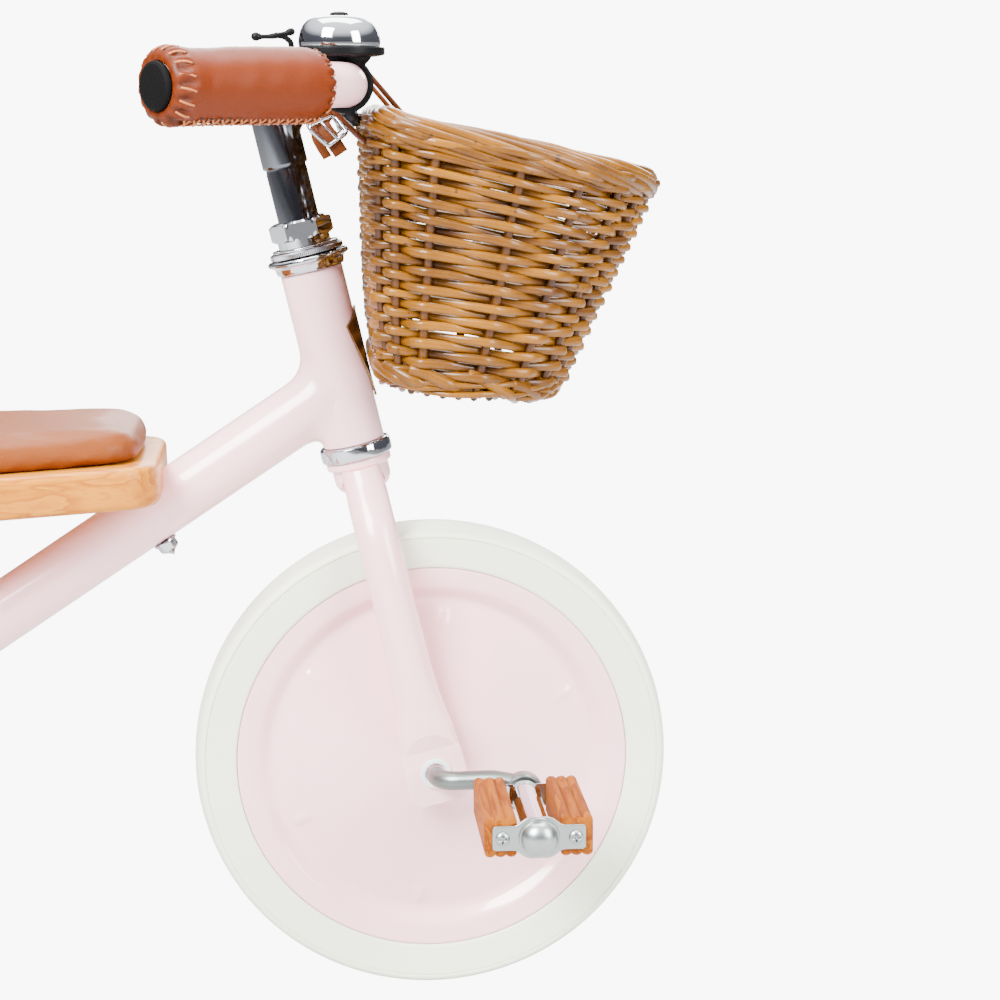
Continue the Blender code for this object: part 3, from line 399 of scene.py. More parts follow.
# leather: a pebbled skin from cell walls, finer noise in it, and darker tone where the cells meet
def leatherLook(name, colour, dark, pebble, depth, shadeColour=None):
    made = finish(name, colour, 0.42, amount=0.10, scale=22.0)
    tree = made.node_tree
    shader = tree.nodes["Principled BSDF"]
    where = node(tree, "ShaderNodeTexCoord")
    cells = node(tree, "ShaderNodeTexVoronoi", feature="SMOOTH_F1", in_Scale=pebble, in_Smoothness=0.6)
    warp = node(tree, "ShaderNodeTexNoise", in_Scale=pebble * 0.35, in_Detail=3.0)
    tree.links.new(where.outputs["Object"], warp.inputs["Vector"])
    push = node(tree, "ShaderNodeVectorMath", operation="MULTIPLY_ADD")
    push.inputs[1].default_value = (0.003, 0.003, 0.003)
    tree.links.new(warp.outputs["Color"], push.inputs[0])
    tree.links.new(where.outputs["Object"], push.inputs[2])
    tree.links.new(push.outputs[0], cells.inputs["Vector"])
    bumpy = node(tree, "ShaderNodeBump", in_Strength=depth, in_Distance=0.0004, invert=True)
    tree.links.new(cells.outputs["Distance"], bumpy.inputs["Height"])
    tree.links.new(tree.nodes["Group.001"].outputs["Normal"], bumpy.inputs["Normal"])
    tree.links.new(bumpy.outputs[0], shader.inputs["Normal"])
    toned = mixColour(tree, math2(tree, "MULTIPLY", cells.outputs["Distance"], 0.35, True),
                      tree.nodes["Group"].outputs["Color"], dark)
    if shadeColour:
        # the third value laid down with the mesh is 1 on lit skin and falls to the painted shade colour in
        # the folds, along the seam's groove, at the ends and on the underside
        lay = node(tree, "ShaderNodeAttribute", attribute_name="lay")
        split = node(tree, "ShaderNodeSeparateXYZ")
        tree.links.new(lay.outputs["Vector"], split.inputs[0])
        toned = mixColour(tree, split.outputs[2], shadeColour, toned)
    tree.links.new(toned, shader.inputs["Base Color"])
    shader.inputs["Specular IOR Level"].default_value = 0.16
    return made


cushionLeather = leatherLook("cushionLeather", (0.165, 0.039, 0.0040), (0.11, 0.022, 0.0016), 900.0, 0.25)
# the grip's third colour is the painted shade laid into its folds, seam groove, ends and underside
gripLeather = leatherLook("gripLeather", (0.125, 0.0175, 0.0006), (0.085, 0.010, 0.0003), 1100.0, 0.18,
                          (0.032, 0.006, 0.001))
strapLeather = leatherLook("strapLeather", (0.10, 0.022, 0.002), (0.055, 0.011, 0.001), 800.0, 0.25)


# wood: rings cut lengthways give long bands, fine fibres run along them, and short dark pores break them
def woodLook(name, light, mid, dark, stretch, scale, rough, pores=0.5, varnish=0.25):
    made = bpy.data.materials.new(name)
    made.use_nodes = True
    tree = made.node_tree
    shader = tree.nodes["Principled BSDF"]
    where = node(tree, "ShaderNodeTexCoord")
    run = node(tree, "ShaderNodeVectorMath", operation="MULTIPLY")
    run.inputs[1].default_value = stretch
    tree.links.new(where.outputs["Object"], run.inputs[0])
    bands = node(tree, "ShaderNodeTexNoise", in_Scale=scale, in_Detail=3.0, in_Distortion=0.7)
    tree.links.new(run.outputs[0], bands.inputs["Vector"])
    rings = math2(tree, "FRACT", math2(tree, "MULTIPLY", bands.outputs[0], 7.0))
    tone = ramp(tree, rings, [(0.0, light), (0.45, mid), (0.82, dark), (1.0, light)])
    fibre = node(tree, "ShaderNodeTexNoise", in_Scale=scale * 14, in_Detail=6.0, in_Roughness=0.7)
    tree.links.new(run.outputs[0], fibre.inputs["Vector"])
    toned = mixColour(tree, math2(tree, "MULTIPLY", fibre.outputs[0], 0.55), tone, dark, "MULTIPLY")
    specks = node(tree, "ShaderNodeTexNoise", in_Scale=scale * 30, in_Detail=2.0)
    tree.links.new(run.outputs[0], specks.inputs["Vector"])
    pore = math2(tree, "GREATER_THAN", specks.outputs[0], 0.66)
    toned = mixColour(tree, math2(tree, "MULTIPLY", pore, pores), toned,
                      tuple(0.45 * c for c in dark))
    tree.links.new(toned, shader.inputs["Base Color"])
    bumpy = node(tree, "ShaderNodeBump", in_Strength=0.12, in_Distance=0.0004)
    tree.links.new(fibre.outputs[0], bumpy.inputs["Height"])
    tree.links.new(bumpy.outputs[0], shader.inputs["Normal"])
    shader.inputs["Roughness"].default_value = rough
    shader.inputs["Coat Weight"].default_value = varnish
    shader.inputs["Specular IOR Level"].default_value = 0.10 + 0.5 * varnish
    shader.inputs["Coat Roughness"].default_value = 0.2
    return made


seatWood = woodLook("seatWood", (0.64, 0.265, 0.013), (0.58, 0.215, 0.009), (0.44, 0.140, 0.005),
                    (0.035, 1.0, 1.5), 44.0, 0.34, 0.4, 0.12)
pedalWood = woodLook("pedalWood", (0.36, 0.110, 0.006), (0.30, 0.080, 0.004), (0.20, 0.043, 0.002),
                     (1.0, 0.10, 1.0), 60.0, 0.65, 0.5, 0.0)


# varnished willow: each rod has its own tone, with painted shade added on the weavers where they dive behind
# the stakes, long fibres, odd dark spots and a gloss over it
def willowLook(name, light, dark):
    made = bpy.data.materials.new(name)
    made.use_nodes = True
    tree = made.node_tree
    shader = tree.nodes["Principled BSDF"]
    lay = node(tree, "ShaderNodeAttribute", attribute_name="lay")
    parts = node(tree, "ShaderNodeSeparateXYZ")
    tree.links.new(lay.outputs["Vector"], parts.inputs[0])
    where = node(tree, "ShaderNodeTexCoord")
    slow = node(tree, "ShaderNodeTexNoise", in_Scale=45.0, in_Detail=3.0)
    tree.links.new(where.outputs["Object"], slow.inputs["Vector"])
    tone = math2(tree, "ADD", math2(tree, "MULTIPLY", parts.outputs[2], 0.7),
                 math2(tree, "MULTIPLY", math2(tree, "SUBTRACT", slow.outputs[0], 0.35), 0.9), True)
    colour = ramp(tree, tone, [(0.0, dark), (0.55, tuple(0.5 * (a + b) for a, b in zip(light, dark))),
                               (1.0, light)])
    fine = node(tree, "ShaderNodeTexNoise", in_Scale=420.0, in_Detail=4.0, in_Roughness=0.7)
    tree.links.new(where.outputs["Object"], fine.inputs["Vector"])
    spots = node(tree, "ShaderNodeTexNoise", in_Scale=130.0, in_Detail=2.0)
    tree.links.new(where.outputs["Object"], spots.inputs["Vector"])
    spot = math2(tree, "MULTIPLY", math2(tree, "GREATER_THAN", spots.outputs[0], 0.705), 0.7)
    colour = mixColour(tree, math2(tree, "MULTIPLY", fine.outputs[0], 0.35), colour, dark, "MULTIPLY")
    colour = mixColour(tree, spot, colour, tuple(0.35 * c for c in dark))
    tree.links.new(colour, shader.inputs["Base Color"])
    bumpy = node(tree, "ShaderNodeBump", in_Strength=0.25, in_Distance=0.0004)
    tree.links.new(fine.outputs[0], bumpy.inputs["Height"])
    tree.links.new(bumpy.outputs[0], shader.inputs["Normal"])
    shader.inputs["Roughness"].default_value = 0.34
    shader.inputs["Coat Weight"].default_value = 0.22
    shader.inputs["Specular IOR Level"].default_value = 0.22
    shader.inputs["Coat Roughness"].default_value = 0.12
    return made


willow = willowLook("willow", (0.33, 0.125, 0.0016), (0.055, 0.0140, 0.0004))
willowStake = willowLook("willowStake", (0.17, 0.055, 0.0010), (0.035, 0.0085, 0.0003))
# the rim's core is coloured near black: painted shade inside the roll of rim rods
rimCoreShade = finish("willowCore", (0.05, 0.016, 0.004), 0.7)
print("stage: materials ready")

# frame: head tube, down tube, axle tube, stays and the seat's pad

frameSettings = {"headR": 19.25, "downR": 19.05, "headLow": 206.8, "headHigh": 317.1, "blend": 15.0}
downTop = arr(-55.57, 0, 386.9)
rearAxle = arr(-505, 0, 88)
downDir = unit(rearAxle - downTop)


# where each line along the down tube's skin first meets the head tube's skin
def headTubeMeet(count=120):
    a = np.linspace(0, 2 * np.pi, count, endpoint=False)
    n = unit(np.cross(downDir, left))
    ring = downTop + frameSettings["downR"] * (np.cos(a)[:, None] * left + np.sin(a)[:, None] * n)
    # the head tube's skin is where the distance from the steering axis equals its radius
    rel = ring - axle
    d = downDir
    relP = rel - (rel @ steerUp)[:, None] * steerUp
    dP = d - (d @ steerUp) * steerUp
    qa, qb = dP @ dP, 2 * relP @ dP
    qc = (relP * relP).sum(1) - (frameSettings["headR"] - 0.02) ** 2
    t = (-qb + np.sqrt(np.maximum(qb * qb - 4 * qa * qc, 0))) / (2 * qa)
    return a, n, ring, t


def filletStrip(count=144, rows=9):
    a, n, ring, t = headTubeMeet(count)
    reach = frameSettings["blend"]
    meet = ring + t[:, None] * downDir
    onTube = ring + (t + reach)[:, None] * downDir
    rel = meet - axle
    s = rel @ steerUp
    flat = rel - s[:, None] * steerUp
    angle = np.arctan2(flat @ left, -(flat @ steerFwd))
    mid = s.mean()
    da, ds = angle * frameSettings["headR"], s - mid
    size = np.maximum(np.hypot(da, ds), 1e-6)
    grow = 1 + reach / size
    a2, s2 = angle * grow, np.clip(mid + ds * grow, frameSettings["headLow"] + 0.6,
                                   frameSettings["headHigh"])
    r = frameSettings["headR"] + 0.03
    onHead = steer(-r * np.cos(a2), r * np.sin(a2), s2)
    k = np.linspace(0, 1, rows)[:, None, None]
    pts = (1 - k) ** 2 * onTube + 2 * k * (1 - k) * meet + k ** 2 * onHead
    return grid(pts)


def headTube():
    lo, hi, r = frameSettings["headLow"], frameSettings["headHigh"], frameSettings["headR"]
    return lathe([(17.0, lo), (r, lo), (r, hi), (17.0, hi)], axle, steerUp, 128, left,
                 soften=[0, 0.8, 0.8, 0])


def plainTube(p, q, r, sides=96, rows=40):
    k = np.linspace(0, 1, rows)[:, None]
    return tube(p + (q - p) * k, r, sides, ref=left if abs(unit(q - p)[1]) < 0.9 else up)


# a fillet ring round a tube's foot
def weldBead(centre, axis, radius, thick=1.6):
    a = np.linspace(0, np.pi / 2, 6)
    profile = np.c_[radius + thick - thick * np.sin(a), thick - thick * np.cos(a)]
    return lathe(profile[::-1], centre, axis, 64, left if abs(unit(axis)[1]) < 0.9 else up)


rows = []
a, n, ring, t = headTubeMeet(96)
start = ring + (t - 1.5)[:, None] * downDir
end = ring + float((rearAxle - downTop) @ downDir) * downDir
k = np.linspace(0, 1, 60)[:, None, None]
rows.append(grid(start * (1 - k) + end * k, caps=(False, True)))
rows += [headTube(), filletStrip()]
axleTube = [(12.2, -168), (14, -168), (14, 168), (12.2, 168)]
rows.append(lathe(axleTube, rearAxle, left, 72, up, soften=[0, 0.8, 0.8, 0]))
for side in (1, -1):
    foot, top = rearAxle + arr(0, side * 62, 0), arr(-452, side * 46, 309.5)
    rows += [plainTube(foot, top, 8.0, 40), weldBead(foot + unit(top - foot) * 13.6, top - foot, 8.0)]
rows.append(weldBead(rearAxle - downDir * 14.0, -downDir, 19.05, 2.6))
boardTilt = math.radians(1.8)
boardX = arr(math.cos(boardTilt), 0, math.sin(boardTilt))
boardZ = arr(-math.sin(boardTilt), 0, math.cos(boardTilt))
boardFront = arr(-162.0, 0, 347.8)


def onBoard(x, y, z):
    x, y, z = np.broadcast_arrays(*[np.asarray(v, float) for v in (x, y, z)])
    return boardFront + x[..., None] * boardX + y[..., None] * left + z[..., None] * boardZ


# a flat slab with rounded edges from a plan outline; crown lifts its middle
def plate(outline, low, high, edge=1.0, place=onBoard, rings=6, crown=0.0):
    outline = np.asarray(outline, float)[:, :2]
    centre = outline.mean(0)
    tang = unit(np.roll(outline, -1, 0) - np.roll(outline, 1, 0))
    inward = np.c_[-tang[:, 1], tang[:, 0]]
    if ((centre - outline) * inward).sum() < 0:
        inward = -inward
    a = np.linspace(0, np.pi / 2, 5)
    ins = np.concatenate([edge * (1 - np.sin(a)), edge * (1 - np.cos(a))])
    hts = np.concatenate([low + edge * (1 - np.cos(a)), high - edge * (1 - np.sin(a))])
    wall = outline[None] + inward[None] * ins[:, None, None]
    k = np.linspace(1, 0.02, rings)[1:, None, None]
    lid = centre + (wall[-1] - centre) * k
    base = centre + (wall[0] - centre) * k[::-1]
    plan = np.vstack([base, wall, lid])
    z = np.concatenate([np.full(len(base), low), hts, high + crown * (1 - k[:, 0, 0] ** 2)])
    return grid(place(plan[..., 0], plan[..., 1], z[:, None]), caps=(True, True))


padOutline = fillet([(-262, -58, 0), (-302, -58, 0), (-302, 58, 0), (-262, 58, 0)], 6.0, 6, True)
rows.append(plate(padOutline, -29.8, -25.8, 0.8))
build("frameTubes", rows, pinkPaint, "frame", ["main_frame"])

# seat board, cushion and their fasteners

boardCorners = [(-4, -68), (-178, -106), (-313, -96), (-313, 96), (-178, 106), (-4, 68)]
boardPlan = fillet(np.c_[boardCorners, np.zeros(6)], [27, 130, 48, 48, 130, 27], 14, True)
boardPlan = resample(np.vstack([boardPlan, boardPlan[:1]]), 181)[:-1]
seatBoard = build("seatBoard", [plate(boardPlan, -25.5, 0.0, 4.6, rings=10)], seatWood, "frame",
                  ["seat_board"])


def cushionParts():
    settings = {"crown": 1.2}
    corners = [(-15, -56), (-178, -95), (-301, -86), (-301, 86), (-178, 95), (-15, 56)]
    plan = fillet(np.c_[corners, np.zeros(6)], [25, 120, 44, 44, 120, 25], 14, True)[:, :2]
    plan = resample(np.vstack([plan, plan[:1]]), 217)[:-1]
    centre = plan.mean(0)
    tang = unit(np.roll(plan, -1, 0) - np.roll(plan, 1, 0))
    inward = np.c_[-tang[:, 1], tang[:, 0]]
    if ((centre - plan) * inward).sum() < 0:
        inward = -inward
    # inset and height down the side, from the tucked-in foot over the widest line to the top
    side = spline([(3.6, 0.4), (1.2, 2.6), (0.1, 6.0), (0.0, 9.2), (0.8, 13.2), (2.9, 16.6), (6.8, 19.0),
                   (13.5, 20.0)], 30)
    wall = plan[None] + inward[None] * side[:, :1, None]
    k = np.linspace(1, 0.02, 26)[1:, None, None]
    lid = centre + (wall[-1] - centre) * k
    base = centre + (wall[0] - centre) * np.linspace(0.02, 1, 14)[:-1, None, None]
    plan3 = np.vstack([base, wall, lid])
    z = np.concatenate([np.full(len(base), 0.35), side[:, 1], side[-1,
                                                                   1] + settings["crown"] * (1 - k[:, 0,
                                                                                                   0] ** 2)])
    return [grid(onBoard(plan3[..., 0], plan3[..., 1], z[:, None]), caps=(True, True))]


# the pad's cover blown up a little by cloth simulation, its foot held, as stuffing sets leather
def puffed(obj):
    scene = bpy.context.scene
    rest = obj.copy()
    rest.data = obj.data.copy()
    scene.collection.objects.link(rest)
    rest.modifiers.clear()
    shell = rest.modifiers.new("shell", "REMESH")
    shell.mode = "VOXEL"
    shell.voxel_size = 0.0045
    bpy.context.view_layer.update()
    graph = bpy.context.evaluated_depsgraph_get()
    mesh = bpy.data.meshes.new_from_object(rest.evaluated_get(graph), depsgraph=graph)
    rest.modifiers.clear()
    rest.data = mesh
    count = len(mesh.vertices)
    before = np.zeros(count * 3)
    mesh.vertices.foreach_get("co", before)
    before = before.reshape(-1, 3)
    rel = (before * 1000 - [originX, 0, 0]) - boardFront
    height = rel @ boardZ
    held = rest.vertex_groups.new(name="held")
    held.add([int(i) for i in np.flatnonzero(height < 3.5)], 1.0, "REPLACE")
    cloth = rest.modifiers.new("cloth", "CLOTH")
    cloth.settings.quality = 5
    cloth.settings.mass = 0.3
    cloth.settings.tension_stiffness = 15
    cloth.settings.compression_stiffness = 15
    cloth.settings.bending_stiffness = 4
    cloth.settings.use_pressure = True
    cloth.settings.uniform_pressure_force = 4.0
    cloth.settings.vertex_group_mass = "held"
    cloth.settings.effector_weights.gravity = 0.0
    cloth.point_cache.frame_start = 1
    cloth.point_cache.frame_end = 20
    for f in range(1, 21):
        scene.frame_set(f)
    graph = bpy.context.evaluated_depsgraph_get()
    after = np.zeros(count * 3)
    rest.evaluated_get(graph).data.vertices.foreach_get("co", after)
    scene.frame_set(1)
    after = after.reshape(-1, 3)
    shift = after - before
    size = np.linalg.norm(shift, axis=1, keepdims=True)
    limit = 0.0016
    shift *= np.where(size > limit, limit / np.maximum(size, 1e-9), 1.0)
    print("cushion moved by", round(float(size.mean() * 1000), 2), "mm on average and capped at",
          limit * 1000)
    rest.modifiers.clear()
    mesh.vertices.foreach_set("co", (before + shift).ravel())
    mesh.update()
    mesh.shade_smooth()
    obj.data = mesh
    bpy.data.objects.remove(rest)
    fine = obj.modifiers.new("fine", "SUBSURF")
    fine.levels = fine.render_levels = 1


cushion = build("seatCushion", cushionParts(), cushionLeather, "frame", ["seat_cushion"])
puffed(cushion)
cushion.data.materials.clear()
cushion.data.materials.append(cushionLeather)
nutUp = unit(np.cross(downDir, left))
nutUp = nutUp if nutUp[2] > 0 else -nutUp
nutCentre = arr(-176.8, 0, 306.3)
low = -19.35
washer = lathe([(3.3, low), (7.7, low), (7.7, low - 1.4), (3.3, low - 1.4)], nutCentre, nutUp, 48, left,
               soften=0.3, closed=True)


# the radius of a hexagon at each angle, pulled in by a cone at its lower face
def hexShape(apothem, chamferLow, cone=0.62):
    def shape(r, h, a):
        sector = (a % (np.pi / 3)) - np.pi / 6
        hexR = apothem / np.cos(sector)
        out = np.where(r > apothem * 0.995, hexR, r)
        out = np.minimum(out, np.maximum(apothem * 0.97 + (h - chamferLow) / cone, 0.1))
        return np.minimum(out, np.maximum(r, out * (r > apothem * 0.9))), h
    return shape


capNut = np.vstack([[(3.3, low - 1.5), (6.6, low - 1.5)], [(6.6, low - 1.9), (6.6, low - 3.5),
                                                           (6.6, low - 5.4), (6.6, low - 6.2)],
                    [(5.2, low - 6.6), (5.0, low - 8.4), (4.5, low - 10.6), (3.2, low - 12.5),
                     (1.6, low - 13.3), (0.02, low - 13.6)]])
build("seatNut", [washer, lathe(capNut, nutCentre, nutUp, 72, left, shape=hexShape(5.6, low - 6.4))],
      chrome, "frame", ["seat_front_nut"], sharp=28)
print("stage: frame and seat")

# headset

badgeSettings = {"thick": 1.1, "gap": 0.3}
build("upperCup", [lathe([(15.2, 309.8), (16.7, 309.8), (16.7, 317.4), (20.6, 317.4), (21.3, 319.0),
                          (21.6, 321.4),
                          (23.0, 322.8), (25.0, 323.6), (25.3, 324.6), (25.0, 325.8), (24.3, 326.4),
                          (18.9, 326.4),
                          (18.9, 320.4), (15.2, 320.4)], axle, steerUp, 128, left, soften=0.35,
                         closed=True)],
      chrome, "frame", ["headset_upper_cup"])
build("lowerCup", [lathe([(18.6, 197.3), (21.5, 197.3), (22.25, 198.2), (22.4, 201.8), (22.25, 205.4),
                          (21.4, 206.5),
                          (16.7, 206.5), (16.7, 214), (15.2, 214), (15.2, 203.8), (18.6, 203.8)],
                         axle, steerUp, 128, left, soften=0.4, closed=True)],
      chrome, "frame", ["headset_lower_cup"])


def knurl(r, h, a):
    teeth = 0.28 * np.abs(np.sin(a * 60)) * (r > 22.2) * (h > 327.3) * (h < 331.0)
    return r + teeth, h


build("headsetCone", [lathe([(14.6, 325.4), (17.9, 325.4), (18.2, 327.0), (21.6, 327.0), (22.5, 327.6),
                             (22.5, 330.2),
                             (21.7, 330.9), (14.6, 330.9)], axle, steerUp, 480, left, closed=True,
                            shape=knurl)],
      chrome, "steering", ["headset_cone"], sharp=30)
build("headsetWasher", [lathe([(14.6, 331.2), (20.6, 331.2), (20.6, 332.6), (14.6, 332.6)], axle, steerUp,
                              96, left,
                              soften=0.3, closed=True)],
      chrome, "steering", ["headset_washer"])
nutRows = [(14.6, 332.8), (16.2, 332.8), (16.2, 337.2), (18.4, 337.2), (18.4, 337.8), (18.4, 338.6),
           (18.4, 341), (18.4, 345),
           (18.4, 347.0), (18.4, 347.8), (16.0, 348.9), (14.6, 348.9)]


def lockHex(r, h, a):
    sector = (a % (np.pi / 3)) - np.pi / 6
    hexR = 16.9 / np.cos(sector)
    top, bottom = 17.0 + (348.9 - h) * 1.35, 17.2 + (h - 337.2) * 1.6
    out = np.where(r > 18.0, np.minimum(hexR, np.minimum(top, bottom)), r)
    return out, h


build("headsetLocknut", [lathe(nutRows, axle, steerUp, 144, left, closed=True, shape=lockHex)],
      chrome, "steering", ["headset_locknut"], sharp=24)


# a plain kite plate bent round the head tube, with a narrow raised edge
def badgePlate():
    s = np.linspace(0, 1, 61)[:, None]
    c = np.linspace(-1, 1, 41)[None]
    sTop, sLow, sCorner, wide = 289.7, 232.0, 279.4, 17.4
    level = sTop + (sLow - sTop) * s
    upper = wide * np.clip((sTop - level) / (sTop - sCorner), 0, 1)
    lower = wide * np.clip((level - sLow) / (sCorner - sLow), 0, 1) ** 0.72
    half = np.where(level > sCorner, upper, lower) + 0.15
    y = c * half
    edge = np.minimum(np.minimum(half - np.abs(y), 3), np.minimum(level - sLow, sTop - level) * 0.6)
    rise = 0.45 * smooth(1.0 - edge, 0.0, 0.8)
    r = 19.25 + badgeSettings["gap"] + badgeSettings["thick"] + rise
    a = y / 19.5
    outer = steer(r * np.cos(a), r * np.sin(a), level)
    inner = steer(19.5 * np.cos(a), 19.5 * np.sin(a), level)
    loop = np.concatenate([outer, inner[:, ::-1]], 1)
    return grid(loop, caps=(True, True))


build("headBadge", [badgePlate()], bronze, "frame", ["head_badge"])
print("stage: headset")

# fork

bladeTable = np.array([  # height, centre, half width, half depth, squareness
    (192.0, 13.0, 12.0, 11.0, 2.0), (184, 16.4, 12.4, 11.6, 2.0), (172, 23.8, 12.9, 12.4, 2.0),
    (160, 30.6, 13.0, 12.9, 2.0), (148, 35.0, 13.0, 13.0, 2.0), (130, 37.8, 13.0, 13.0, 2.0),
                       (100, 39.3, 13.0, 13.0, 2.0),
    (70, 40.7, 13.2, 12.6, 2.0), (50, 42.0, 14.2, 11.4, 2.05), (36, 43.6, 16.0, 9.8, 2.15),
                       (26, 45.0, 17.6, 8.2, 2.3)])


# a round blade pressed flat at its foot: a slanting facet cuts its outer skin down to the plate's crease
def blade(side):
    settings = {"crease": 15.0, "face": 50.0, "slant": 0.31, "foot": -19.6}
    upperRows = spline(bladeTable, 90)
    a = np.linspace(0, 2 * np.pi, 128, endpoint=False)
    low = np.concatenate([np.linspace(25.6, 15.2, 34), [15.0], np.linspace(14.7, settings["foot"], 44)])
    last = upperRows[-1]
    flat, spread = smooth(15.5 - low, 0, 7), smooth(26 - low, 0, 11)
    wide = last[2] + (18.4 - last[2]) * spread + 0.8 * flat - 5.2 * (np.clip(-9 - low, 0,
                                                                             None) / 10.6) ** 2.2
    centre = last[1] + 0.4 * spread + 1.8 * flat
    outer = last[3] - 0.2 * spread - (last[3] - 3.0) * flat
    lowRows = np.c_[low, centre, wide, outer, last[4] + (7.0 - last[4]) * flat]
    rows5 = np.vstack([upperRows, lowRows])
    s, centre, hx, hy, sq = [rows5[:, i:i + 1] for i in range(5)]
    inner = np.where(s < 26, centre - (36.8 + 7.6 * smooth(28 - s, 2, 19)), hy)
    c, w = np.cos(a)[None], np.sin(a)[None]
    x = hx * np.sign(c) * np.abs(c) ** (2 / sq)
    y = centre + np.where(w > 0, hy, inner) * np.sign(w) * np.abs(w) ** (2 / sq)
    limit = np.where(s < 26, settings["face"] + settings["slant"] * np.maximum(s - settings["crease"], 0),
                     99.0)
    return grid(steer(x, side * np.minimum(y, limit), s + 0 * x), caps=(True, True))


crown = lathe([(0.02, 177), (14.2, 177.4), (15.6, 178.6), (17.4, 182), (17.7, 185), (17.7, 191.2),
               (19.6, 192.0), (20.3, 192.8),
               (20.3, 196.4), (19.8, 196.9), (16.2, 196.9), (16.2, 198.6), (14.3, 198.6), (14.3, 347.4),
               (13.0, 347.4), (13.0, 300)],
              axle, steerUp, 112, left, soften=[0, .5, .8, 1, 1, .8, .5, .5, .5, .3, .3, 0, 0, 0, 0, 0])


# the weld line round a blade's top, where it leaves the crown
def forkWeld(side):
    a = np.linspace(0, 2 * np.pi, 72, endpoint=False)
    k = np.linspace(0, 1, 5)[:, None]
    pts = steer(12.9 * np.cos(a)[None] * (1 + 0.05 * (1 - k)),
                side * (18.2 + 12.0 * np.sin(a)[None] * (1 + 0.05 * (1 - k))),
                181.0 - 5.0 * np.sin(a)[None] + 2.2 * (1 - k) + 0 * a)
    return grid(pts)


build("forkBlades", [crown, blade(1), blade(-1), forkWeld(1), forkWeld(-1)], pinkPaint, "steering",
      ["fork"], sharp=50)
for side, label in ((1, "left"), (-1, "right")):
    build("forkBush" + label.capitalize(),
          [lathe([(6.1, 44.7), (7.5, 44.7), (7.5, 50.3), (9.6, 50.3), (9.5, 51.8), (8.9, 52.4),
                  (6.9, 52.4), (6.3, 51.6)],
                 axle, left * side, 72, up, soften=0.25, closed=True)],
          nylon, "steering", ["fork_bush_" + label])
print("stage: fork")

# wheels


def mirrored(profile):
    profile = np.asarray(profile, float)
    return np.vstack([profile, (profile * [1, -1])[::-1]])


# flat side walls with one fine groove, round shoulders, and a nearly flat tread
def frontTyre():
    a = np.linspace(0, np.pi / 2, 9)
    shoulder = np.c_[143.9 + 4.6 * np.sin(a), 13.8 + 7.9 * np.cos(a)]
    tread = [(149.2, 11.0), (149.8, 6.0), (150.0, 1.0)]
    half = np.vstack([[(117.3, 12.8), (121.5, 14.6), (123.7, 15.8), (123.7, 18.0), (124.3, 18.6),
                       (126, 18.9), (134, 20.1), (142.3, 21.3),
                       (142.75, 20.75), (143.1, 20.7), (143.45, 21.6)], shoulder, tread])
    return lathe(mirrored(half), axle, left, 256, up, closed=True)


ribAngles = np.radians([25, 85, 145, 205, 265, 325])


def ribbed(sideSign):
    def shape(r, h, a):
        out = h.copy()
        for rib in ribAngles:
            off = (a - (rib if sideSign < 0 else np.pi - rib) + np.pi) % (2 * np.pi) - np.pi
            across = np.abs(off) * r
            out = out + 1.3 * np.exp(-(across / 3.2) ** 2) * smooth(r, 83,
                                                                    88) * (1 - smooth(r, 95.5,
                                                                                      98.5)) * (h > 5)
        return r, out
    return shape


def frontDisc(side):
    cone = np.c_[np.linspace(24, 96.5, 46), 31.6 - np.linspace(0, 1, 46) * 20.6]
    outer = np.vstack([[(6.6, 33.0), (12, 33.0), (19, 32.9), (22, 32.3)], cone,
                       [(98.3, 10.5), (100.5, 10.2), (102.8, 10.5), (104.6, 11.5), (108.0, 14.1),
                        (110.2, 15.6), (112.4, 16.4),
                        (117.5, 16.9), (121.2, 17.2), (122.9, 17.5), (123.35, 17.0), (123.0, 16.5)]])
    inner = [(117, 13.2), (115.4, 12.8), (115.4, 0.15)]
    return lathe(np.vstack([outer, inner]), axle, left * side, 432, up, shape=ribbed(side))


build("frontTyre", [frontTyre()], tyreRubber, "front_wheel", ["front_tyre"])
for side, label in ((1, "left"), (-1, "right")):
    build("frontDisc" + label.capitalize(), [frontDisc(side)], discPaint, "front_wheel",
          ["front_disc_" + label],
          sharp=60)

for side, label in ((1, "left"), (-1, "right")):
    hub = rearAxle + arr(0, side * 196, 0)
    a = np.linspace(0, np.pi / 2, 7)
    half = np.vstack([[(66.3, 11.8), (70, 12.6), (71.5, 13.4), (71.5, 15.8), (72.4, 16.6), (79.5, 19.2),
                       (80.0, 18.8), (80.5, 19.5)],
                      np.c_[81.0 + 6.3 * np.sin(a), 11.8 + 8.0 * np.cos(a)], [(87.8, 6.0), (88.0, 1.0)]])
    body = "rear_wheel_" + label
    build("rearTyre" + label.capitalize(), [lathe(mirrored(half), hub, left * side, 160, up, closed=True)],
          tyreRubber, body,
          ["rear_tyre_" + label])
    disc = np.array([(7.6, 16.4), (13.6, 16.5), (14.6, 16.2), (30, 12.4), (54, 6.6), (56, 6.2), (58, 6.3),
                     (60, 6.9), (63.4, 12.6), (65, 14.2),
                     (69.6, 15.0), (71.2, 15.3), (71.3, 14.6), (66, 12.4), (66, -12.4), (71.3, -14.6),
                     (71.2, -15.3), (69.6, -15.0),
                     (64.6, -13.6), (64.2, 10.0), (60.8, 5.0), (56, 4.6), (12, 14.4), (10.6, 13.4),
                     (10.4, -23.5), (7.6, -23.5)])
    build("rearDisc" + label.capitalize(), [lathe(disc, hub, left * side, 160, up, closed=True)],
          discPaint, body,
          ["rear_disc_" + label])
    build("rearCap" + label.capitalize(),
          [lathe([(5.3, 17.2), (11.5, 17.2), (11.7, 17.6), (11.5, 19.6), (10.2, 21.8), (7.2, 23.8),
                  (3.6, 24.7), (0.02, 24.9)],
                 hub, left * side, 64, up)], chrome, "frame", ["rear_cap_nut_" + label])
print("stage: wheels")

# crank and pedals


# the right pedal stands forward and the left one behind, a little above and below the axle's line
def pedalCentre(side):
    return axle + arr(-side * 52, 0, side * 5)


